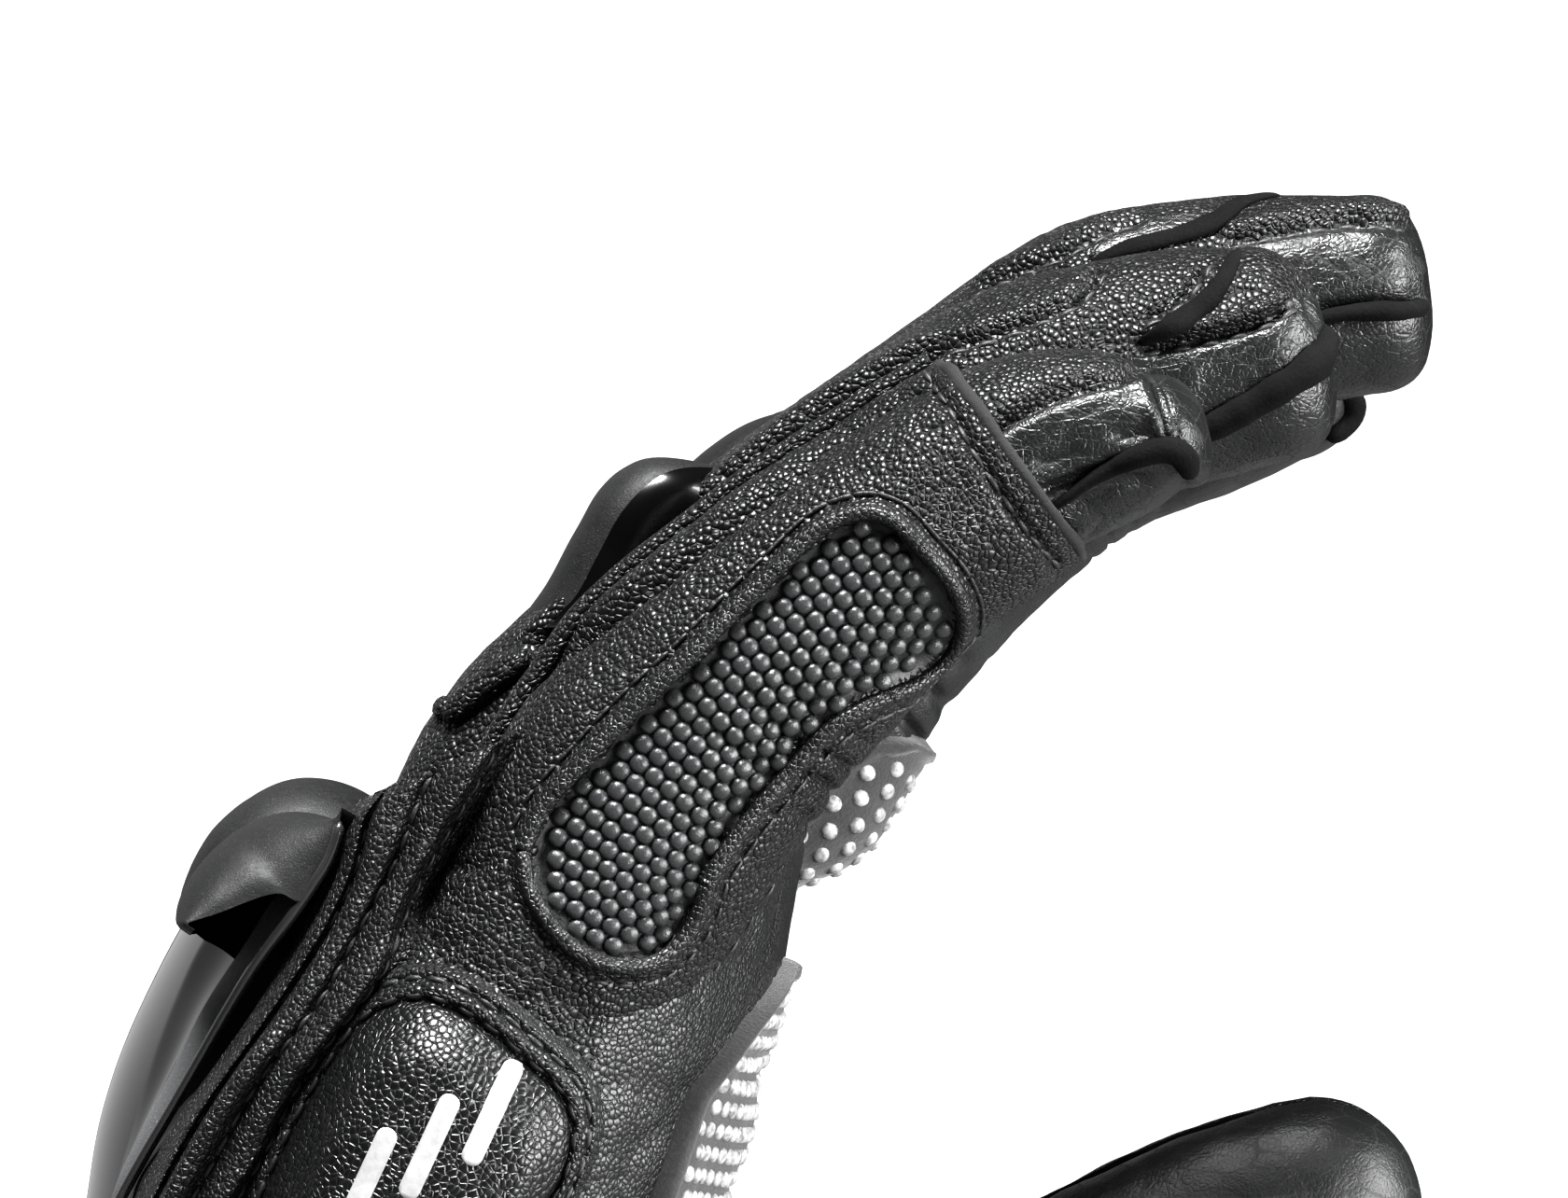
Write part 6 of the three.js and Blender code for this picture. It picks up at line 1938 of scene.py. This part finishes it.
def slab(name, z, y, levels, corner, mat, body, node, slot, edge, rows=90, columns=46, sag=0.0,
         rough=0.0, seed=0):
    """A flat strap or patch on the palm side of the cuff, with rounded corners and soft edges.
    z and y are its ranges, levels its underside and top above the skin."""
    half_z, half_y = (z[1] - z[0]) / 2, (y[1] - y[0]) / 2
    low, high = levels

    def spread(count):
        even = np.linspace(-1, 1, count)
        return np.sin(even * np.pi / 2) * 0.35 + even * 0.65

    u, v = np.meshgrid(spread(rows), spread(columns), indexing="ij")
    over = np.clip((np.abs(v) * half_z - (half_z - corner)) / corner, 0, 1)
    reach = half_y - corner * (1 - np.sqrt(1 - over ** 2))
    ys = (y[0] + y[1]) / 2 + u * reach
    zs = (z[0] + z[1]) / 2 + v * half_z
    inset = np.minimum(reach * (1 - np.abs(u)), half_z * (1 - np.abs(v)))
    rise = ease(inset, 0, edge) ** 0.5
    base, normals = np.zeros(u.shape + (3,)), np.zeros(u.shape + (3,))
    last = None
    for i, j in np.ndindex(rows, columns):
        hit, n = CUFF_SURFACE.cast((120, ys[i, j], zs[i, j]), (-1, 0, 0))
        if hit is not None:
            last = (hit, n)
        base[i, j], normals[i, j] = last
    normals = unit(blur(blur(normals, 2, 0), 2, 1))
    middle = (low + high) / 2
    flat = np.stack([ys, zs, 0 * ys], -1)
    top = middle + (high - middle) * rise + sag * lumps(flat, 9.0, seed) * rise
    top = top + rough * lumps(flat, 1.2, seed + 3) * rise
    bottom = middle - (middle - low) * rise
    top, bottom = base + normals * top[..., None], base + normals * bottom[..., None]
    points = np.vstack([top.reshape(-1, 3), bottom.reshape(-1, 3)])
    count = rows * columns
    above = outward(grid_quads(rows, columns, False), points, normals.reshape(-1, 3), count // 3)
    rim = np.concatenate([np.arange(columns), np.arange(1, rows) * columns + columns - 1,
                          (rows - 1) * columns + np.arange(columns - 2, -1, -1),
                          np.arange(rows - 2, 0, -1) * columns])
    after = np.roll(rim, -1)
    side = np.stack([rim, after, after + count, rim + count], 1)
    side = outward(side, points, points - points[:count].mean(0), 5)
    build(name, points, [above, above[:, ::-1] + count, side], mat, body, (node,))
    return top, normals, inset


def stitch_border(top, normals, inset, distance, body):
    """Stitches round a slab at a distance in from its edge."""
    rows, columns, _ = top.shape
    along, across = inset[:, columns // 2] >= distance, inset[rows // 2] >= distance
    i0, i1 = int(np.argmax(along)), rows - 1 - int(np.argmax(along[::-1]))
    j0, j1 = int(np.argmax(across)), columns - 1 - int(np.argmax(across[::-1]))
    corner = 4
    ring = [(i0, j) for j in range(j0 + 2, j1 - 1)]
    ring += [(i, j1) for i in range(i0 + corner, i1 - corner)]
    ring += [(i1, j) for j in range(j1 - 2, j0 + 1, -1)]
    ring += [(i, j0) for i in range(i1 - corner, i0 + corner, -1)]
    stitches(closed(vec([top[k] for k in ring])), closed(vec([normals[k] for k in ring])), body)


# The frame may carry no record of its bodies; then the bodies take the pieces' own names
BODIES = frame["record"]["behaviour"]["bodies"] if "record" in frame else {}
STRAP_BODY = next((b for b, held in BODIES.items() if "wrist_strap" in held), "wrist_strap")
FLAP_BODY = next((b for b, held in BODIES.items() if "cuff_flap" in held), "cuff_flap")
# name, z range, y range, levels, corner radius, material, body, CAD node, roughness, seed
TAPES = [
    ("cuff_loop_tape", (16, 40), (-33, 2), (0.35, 1.3), 3, LOOPS, "cuff",
     "cuff_loop_patch", 0.12, 3),
    ("wrist_loop_tape", (62, 76), (-24, 6), (0.35, 1.3), 2.5, LOOPS, "cuff",
     "wrist_loop_patch", 0.12, 5),
    ("cuff_flap_hook_tape", (17, 39), (-32, 0), (1.75, 2.6), 3, HOOKS, FLAP_BODY,
     "cuff_flap_hook", 0.1, 7),
    ("wrist_strap_hook_tape", (63, 75), (-23, 2), (1.75, 2.6), 2.5, HOOKS, STRAP_BODY,
     "wrist_strap_hook", 0.1, 9)]

for *place, rough, seed in TAPES:
    slab(*place, "hook_and_loop", edge=0.5, rough=rough, seed=seed)
flap = slab("cuff_closing_flap", z=(12, 44), y=(-36, 30), levels=(2.9, 5.1), corner=9,
            mat=PEBBLED, body=FLAP_BODY, node="cuff_flap", slot="grain_leather", edge=1.3,
            sag=0.35, seed=11)
for distance in (2.2, 4.6):
    stitch_border(*flap, distance, FLAP_BODY)
strap = slab("wrist_strap_band", z=(60, 78), y=(-24, 24), levels=(2.9, 5.0), corner=6,
             mat=PEBBLED_FINE, body=STRAP_BODY, node="wrist_strap", slot="grain_leather",
             edge=1.1, sag=0.25, seed=13)
stitch_border(*strap, 2.0, STRAP_BODY)
tab_top, tab_normals, _ = slab(
    "wrist_strap_pull_tab", z=(61, 77), y=(-24.5, -10), levels=(5.1, 7.0), corner=6, mat=RUBBER,
    body=STRAP_BODY, node="wrist_strap_tab", slot="soft_rubber", edge=1.0, rows=60, columns=60,
    seed=15)
ribs = Batch()
for row in range(14, 44, 6):
    n = tab_normals[row, 12:-12]
    points, faces = cord_shape(tab_top[row, 12:-12] + n * 0.1, n, 0.65, flat=0.8)
    ribs.add(points, *faces)
ribs.build("wrist_strap_tab_ribs", RUBBER, STRAP_BODY, "soft_rubber")

# ---------------------------------------------------------------- bound rim of the cuff
# Section of the binding, from the outside over the mouth to the inside: z, distance out
BINDING_SECTION = [
    (11.5, 0.15), (11.2, 0.9), (10.4, 1.25), (8, 1.35), (5, 1.4), (2.4, 1.45), (0.8, 1.1),
    (0.1, 0.2), (0.0, -0.9), (0.1, -1.8), (0.8, -2.7), (2.4, -3.0), (5, -2.95), (8, -2.85),
    (9.4, -2.5)]


def cuff_binding():
    rings = []
    for z, out in BINDING_SECTION:
        at = z / (HAND_Z[5] - HAND_Z[4])
        i = int(np.clip(at, 0, len(HAND_Z) - 2))
        part = np.clip(at - i, 0, 1)
        ring = HAND_BASE[i] * (1 - part) + HAND_BASE[i + 1] * part
        level = vec([1, 1, 0])
        rings.append((ring + unit(HAND.normals[i] * level) * out) * level + vec([0, 0, z]))
    rings = vec(rings)
    s = arc(rings[:, 0])
    fine = np.linspace(0, s[-1], 44)
    points = np.stack([spline(s, rings[:, j], fine) for j in range(rings.shape[1])], 1)
    points[..., 2] = np.maximum(points[..., 2], 0.0)
    normals = grid_normals(points, True)
    if (normals[8] * HAND.normals[10]).sum() < 0:
        normals = -normals
    points = points + normals * (0.10 * lumps(points, 3.0, 701))[..., None]
    points[..., 2] = np.maximum(points[..., 2], 0.0)
    build_sheet("cuff_rim_binding", points, normals, 3000, PLAIN, "cuff",
                ("cuff_binding",), normals=normals, wrap=True)
    i = int(np.argmin(np.abs(fine - s[3])))
    stitches(closed(points[i]), closed(normals[i]), "cuff", sink=0.03)


cuff_binding()

# ---------------------------------------------------------------- lining
LINING_POINTS = HAND_BASE - HAND_BASE_NORMALS * 1.9


def lining(name, first, last, where, nodes=(), close=False):
    """Rings first..last of the lining, every fourth ring and third column, facing in."""
    rings = np.unique(np.concatenate([np.arange(first, last, 4), [last]]))
    grid = LINING_POINTS[rings][:, ::3]
    rows, columns, _ = grid.shape
    inward = unit(grid.mean(1, keepdims=True) - grid).reshape(-1, 3)
    points = grid.reshape(-1, 3)
    faces = [outward(grid_quads(rows, columns, True), points, inward, columns // 3)]
    if close:
        j = np.arange(columns)
        ring = (rows - 1) * columns
        points = np.vstack([points, grid[-1].mean(0)])
        centre = np.full(columns, len(points) - 1)
        fan = np.stack([ring + j, ring + (j + 1) % columns, centre], 1)
        faces.append(outward(fan, points, np.tile([0.0, 0.0, -1.0], (len(points), 1)), 0))
    build(name, points, faces, LINING, where, nodes)


lining("lining_cuff", int(np.argmin(np.abs(HAND_Z - 6))), CUFF_END, "cuff", ("cuff_lining",))
lining("lining_wrist", CUFF_END, HAND_START, WRIST_BEND)
lining("lining_hand", HAND_START, len(HAND_Z) - 18, "hand", ("hand_lining",), close=True)


# ---------------------------------------------------------------- grip patches with printed dots
def grip_sheet(name, base, normals, inset, soften, lip, step, probe, where, node):
    """A raised suede sheet. lip is the width of its rounded edge; step is (start, end, depth)
    of the drop inside its border."""
    normals = unit(blur(blur(normals, soften, 0), soften, 1))
    base = blur(blur(base, 1.5, 0), 1.0, 1)
    start, end, depth = step
    height = -0.3 + 1.9 * ease(inset, 0, lip) ** 0.6 - depth * ease(inset, start, end)
    points = base + normals * height[..., None]
    shading = grid_normals(points, False)
    if (shading * normals).sum() < 0:
        shading = -shading
    build_sheet(name, points, normals, probe, GRIP_SUEDE, where, (node,),
                normals=shading)
    return Surface(points, wrap=False)


def add_dot(dots, hit, n, across):
    u = unit(across - n * (across @ n))
    dots.add(*dome(hit - n * 0.05, n, u, radius=0.86, height=0.42, sides=12, rings=3,
                   stretch_u=1.08, stretch_v=0.86))


PATCH_START, PATCH_END, PATCH_HALF = -58.0, 15.0, 37.5
PATCH_MIDDLE, PATCH_REACH = (PATCH_START + PATCH_END) / 2, (PATCH_END - PATCH_START) / 2


def palm_hit(t, y, surface):
    return surface.cast(on_hand(t, -70, y), BACK)


def patch_half(t):
    """Half width of the palm patch at t: rounded ends, narrower towards the wrist."""
    u = (t - PATCH_MIDDLE) / PATCH_REACH
    round_ends = np.clip(1 - np.abs(u) ** 5.0, 0, 1) ** 0.5
    return float(PATCH_HALF * round_ends * (1 - 0.10 * np.clip(-u, 0, 1)))


def palm_patch():
    rows, columns = 120, 110
    squeeze = 0.985
    wave = np.sin(np.linspace(-1, 1, rows) * np.pi / 2 * squeeze)
    ts = PATCH_MIDDLE + PATCH_REACH * wave / math.sin(np.pi / 2 * squeeze)
    even = np.linspace(-1, 1, columns)
    ws = np.sin(even * np.pi / 2) * 0.3 + even * 0.7
    base, normals = np.zeros((rows, columns, 3)), np.zeros((rows, columns, 3))
    inset = np.zeros((rows, columns))
    for i, t in enumerate(ts):
        half = max(patch_half(t), 1.0)
        for j, w in enumerate(ws):
            hit, n = palm_hit(t, w * half, HAND_SURFACE)
            if hit is None:
                hit, n = base[i, j - 1], normals[i, j - 1]
            base[i, j], normals[i, j] = hit, n
            inset[i, j] = min(half * (1 - abs(w)), PATCH_END - t, t - PATCH_START)
    return grip_sheet("palm_patch", base, normals, inset, soften=2, lip=0.8,
                      step=(1.6, 2.1, 0.75), probe=5000, where="hand", node="palm_grip_patch")


def palm_dots(patch):
    """Dots in staggered rows, with a bare window near the patch's middle."""
    row_pitch, pitch = 2.05 * 0.95, 2.35
    dots = Batch()
    row = 0
    t = PATCH_START + 3.4
    while t < PATCH_END - 2.8:
        half = patch_half(t) - 3.0
        y = -half + (row % 2) * pitch / 2
        while y < half:
            if not (-34 < t < -20 and -14 < y < 16):
                hit, n = palm_hit(t, y, patch)
                if hit is not None:
                    add_dot(dots, hit, n, ACROSS)
            y += pitch
        t += row_pitch
        row += 1
    dots.build("palm_patch_dots", LIGHT_PRINT, "hand", "grip_print")


palm_dots(palm_patch())

INDEX = FINGERS["index"]
STRIP_START, STRIP_END = 0.22 * INDEX.length, 0.98 * INDEX.length


def strip_half(s):
    """Half width of the index strip's rounded outline."""
    u = (s - (STRIP_START + STRIP_END) / 2) / ((STRIP_END - STRIP_START) / 2)
    return 8.4 * max(0.0, 1 - abs(u) ** 4) ** 0.5


def strip_hit(s, y, away, surface):
    """Hit on the palm side of the index finger's base bone, y mm round it."""
    angle = y / 11.0
    d = -INDEX.back * math.cos(angle) + INDEX.across * math.sin(angle)
    return surface.cast(INDEX.joints[0] + INDEX.directions[0] * s + d * away, -d)


def index_strip():
    rows, columns = 70, 36
    base, normals = np.zeros((rows, columns, 3)), np.zeros((rows, columns, 3))
    inset = np.zeros((rows, columns))
    for i, s in enumerate(np.linspace(STRIP_START, STRIP_END, rows)):
        half = strip_half(s) + 0.3
        for j, w in enumerate(np.linspace(-1, 1, columns)):
            base[i, j], normals[i, j] = strip_hit(s, w * half, 28, FINGER_SURFACES["index"])
            inset[i, j] = min(half * (1 - abs(w)), s - STRIP_START, STRIP_END - s)
    return grip_sheet("index_strip", base, normals, inset, soften=1.5, lip=0.7,
                      step=(1.3, 1.8, 0.6), probe=1200, where=INDEX.bends[0],
                      node="index_grip_strip")


def index_dots(strip):
    pitch = 2.3
    dots = Batch()
    for row, s in enumerate(np.arange(STRIP_START + 2.6, STRIP_END - 2.2, 1.95)):
        half = strip_half(s) - 1.6
        y = -half + (row % 2) * pitch / 2
        while y < half:
            hit, n = strip_hit(s, y, 30, strip)
            if hit is not None:
                add_dot(dots, hit, n, INDEX.across)
            y += pitch
    dots.build("index_strip_dots", LIGHT_PRINT, INDEX.bends[0], "grip_print")


index_dots(index_strip())

for name, (body, batch) in THREADS.items():
    batch.build("stitches_" + name, THREAD, body, "grain_leather")


# ---------------------------------------------------------------- stage, lights and camera (metres)
def pale_floor():
    """A floor that the camera sees bright, though it throws little light on the glove."""
    half = 3.0
    z = -0.0006
    mesh = bpy.data.meshes.new("floor")
    mesh.from_pydata([(-half, -half, z), (half, -half, z), (half, half, z), (-half, half, z)],
                     [], [(0, 1, 2, 3)])
    floor = bpy.data.objects.new("floor", mesh)
    bpy.context.scene.collection.objects.link(floor)
    mat = bpy.data.materials.new("pale_floor")
    mat.use_nodes = True
    tree = mat.node_tree
    surface = tree.nodes["Principled BSDF"].inputs
    seen = tree.nodes.new("ShaderNodeLightPath").outputs["Is Camera Ray"]
    colour = tree.nodes.new("ShaderNodeMix")
    colour.data_type = "RGBA"
    colour.inputs[6].default_value = (0.20, 0.20, 0.20, 1)   # for the glove's lighting
    colour.inputs[7].default_value = (0.86, 0.86, 0.85, 1)   # for the camera
    tree.links.new(seen, colour.inputs[0])
    glow = tree.nodes.new("ShaderNodeMath")
    glow.operation = "MULTIPLY"
    glow.inputs[1].default_value = 0.42   # glow for the camera only
    tree.links.new(seen, glow.inputs[0])
    surface["Emission Color"].default_value = (1, 1, 0.99, 1)
    tree.links.new(glow.outputs[0], surface["Emission Strength"])
    tree.links.new(colour.outputs[2], surface["Base Color"])
    surface["Roughness"].default_value = 0.75
    mesh.materials.append(mat)


def studio_world(dim):
    """White for the camera, `dim` for everything else."""
    world = bpy.data.worlds.new("studio")
    bpy.context.scene.world = world
    world.use_nodes = True
    tree = world.node_tree
    background = tree.nodes["Background"]
    light_path = tree.nodes.new("ShaderNodeLightPath")
    strength = tree.nodes.new("ShaderNodeMapRange")
    tree.links.new(light_path.outputs["Is Camera Ray"], strength.inputs["Value"])
    strength.inputs["To Min"].default_value = dim
    strength.inputs["To Max"].default_value = 1.0
    background.inputs["Color"].default_value = (1, 1, 1, 1)
    tree.links.new(strength.outputs["Result"], background.inputs["Strength"])


def area_light(name, offset, size, size_y, power):
    """A rectangular light at an offset from the glove's middle, aimed at it."""
    middle = to_m((49.06, 0.0, 205.0))
    light = bpy.data.lights.new(name, "AREA")
    light.shape = "RECTANGLE"
    light.size, light.size_y = size, size_y
    light.energy = power
    ob = bpy.data.objects.new(name, light)
    bpy.context.scene.collection.objects.link(ob)
    ob.location = tuple(middle + vec(offset))
    ob.rotation_mode = "QUATERNION"
    aim = Vector(tuple(middle)) - Vector(tuple(middle + vec(offset)))
    ob.rotation_quaternion = aim.to_track_quat("-Z", "Y")


def camera():
    """Looks along +Y from the little-finger side."""
    distance = 1.9
    sensor = 36.0
    half_view = 0.1292 / 2     # half the width seen in the plane below
    plane = distance - 0.04    # distance of that plane
    cam = bpy.data.cameras.new("camera")
    cam.sensor_width = sensor
    cam.lens = sensor / 2 / (half_view / plane)
    cam.clip_start, cam.clip_end = 0.01, 20
    ob = bpy.data.objects.new("camera", cam)
    bpy.context.scene.collection.objects.link(ob)
    x, y, z = to_m((49.06, 0.0, 208.1))
    ob.location = (x, y - distance, z)
    ob.rotation_euler = (math.pi / 2, 0, 0)
    bpy.context.scene.camera = ob


pale_floor()
studio_world(dim=0.02)
area_light("top", offset=(-0.10, -0.35, 0.85), size=0.40, size_y=0.40, power=34.0)
area_light("left", offset=(-0.85, 0.85, 0.30), size=2.0, size_y=1.2, power=3.2)
area_light("front", offset=(0.85, -0.75, -0.10), size=0.40, size_y=0.40, power=18.0)
area_light("right", offset=(0.95, -0.15, 0.10), size=0.5, size_y=0.9, power=20.0)
camera()
bpy.context.scene.view_settings.view_transform = "Standard"
bpy.context.scene.view_settings.look = "High Contrast"
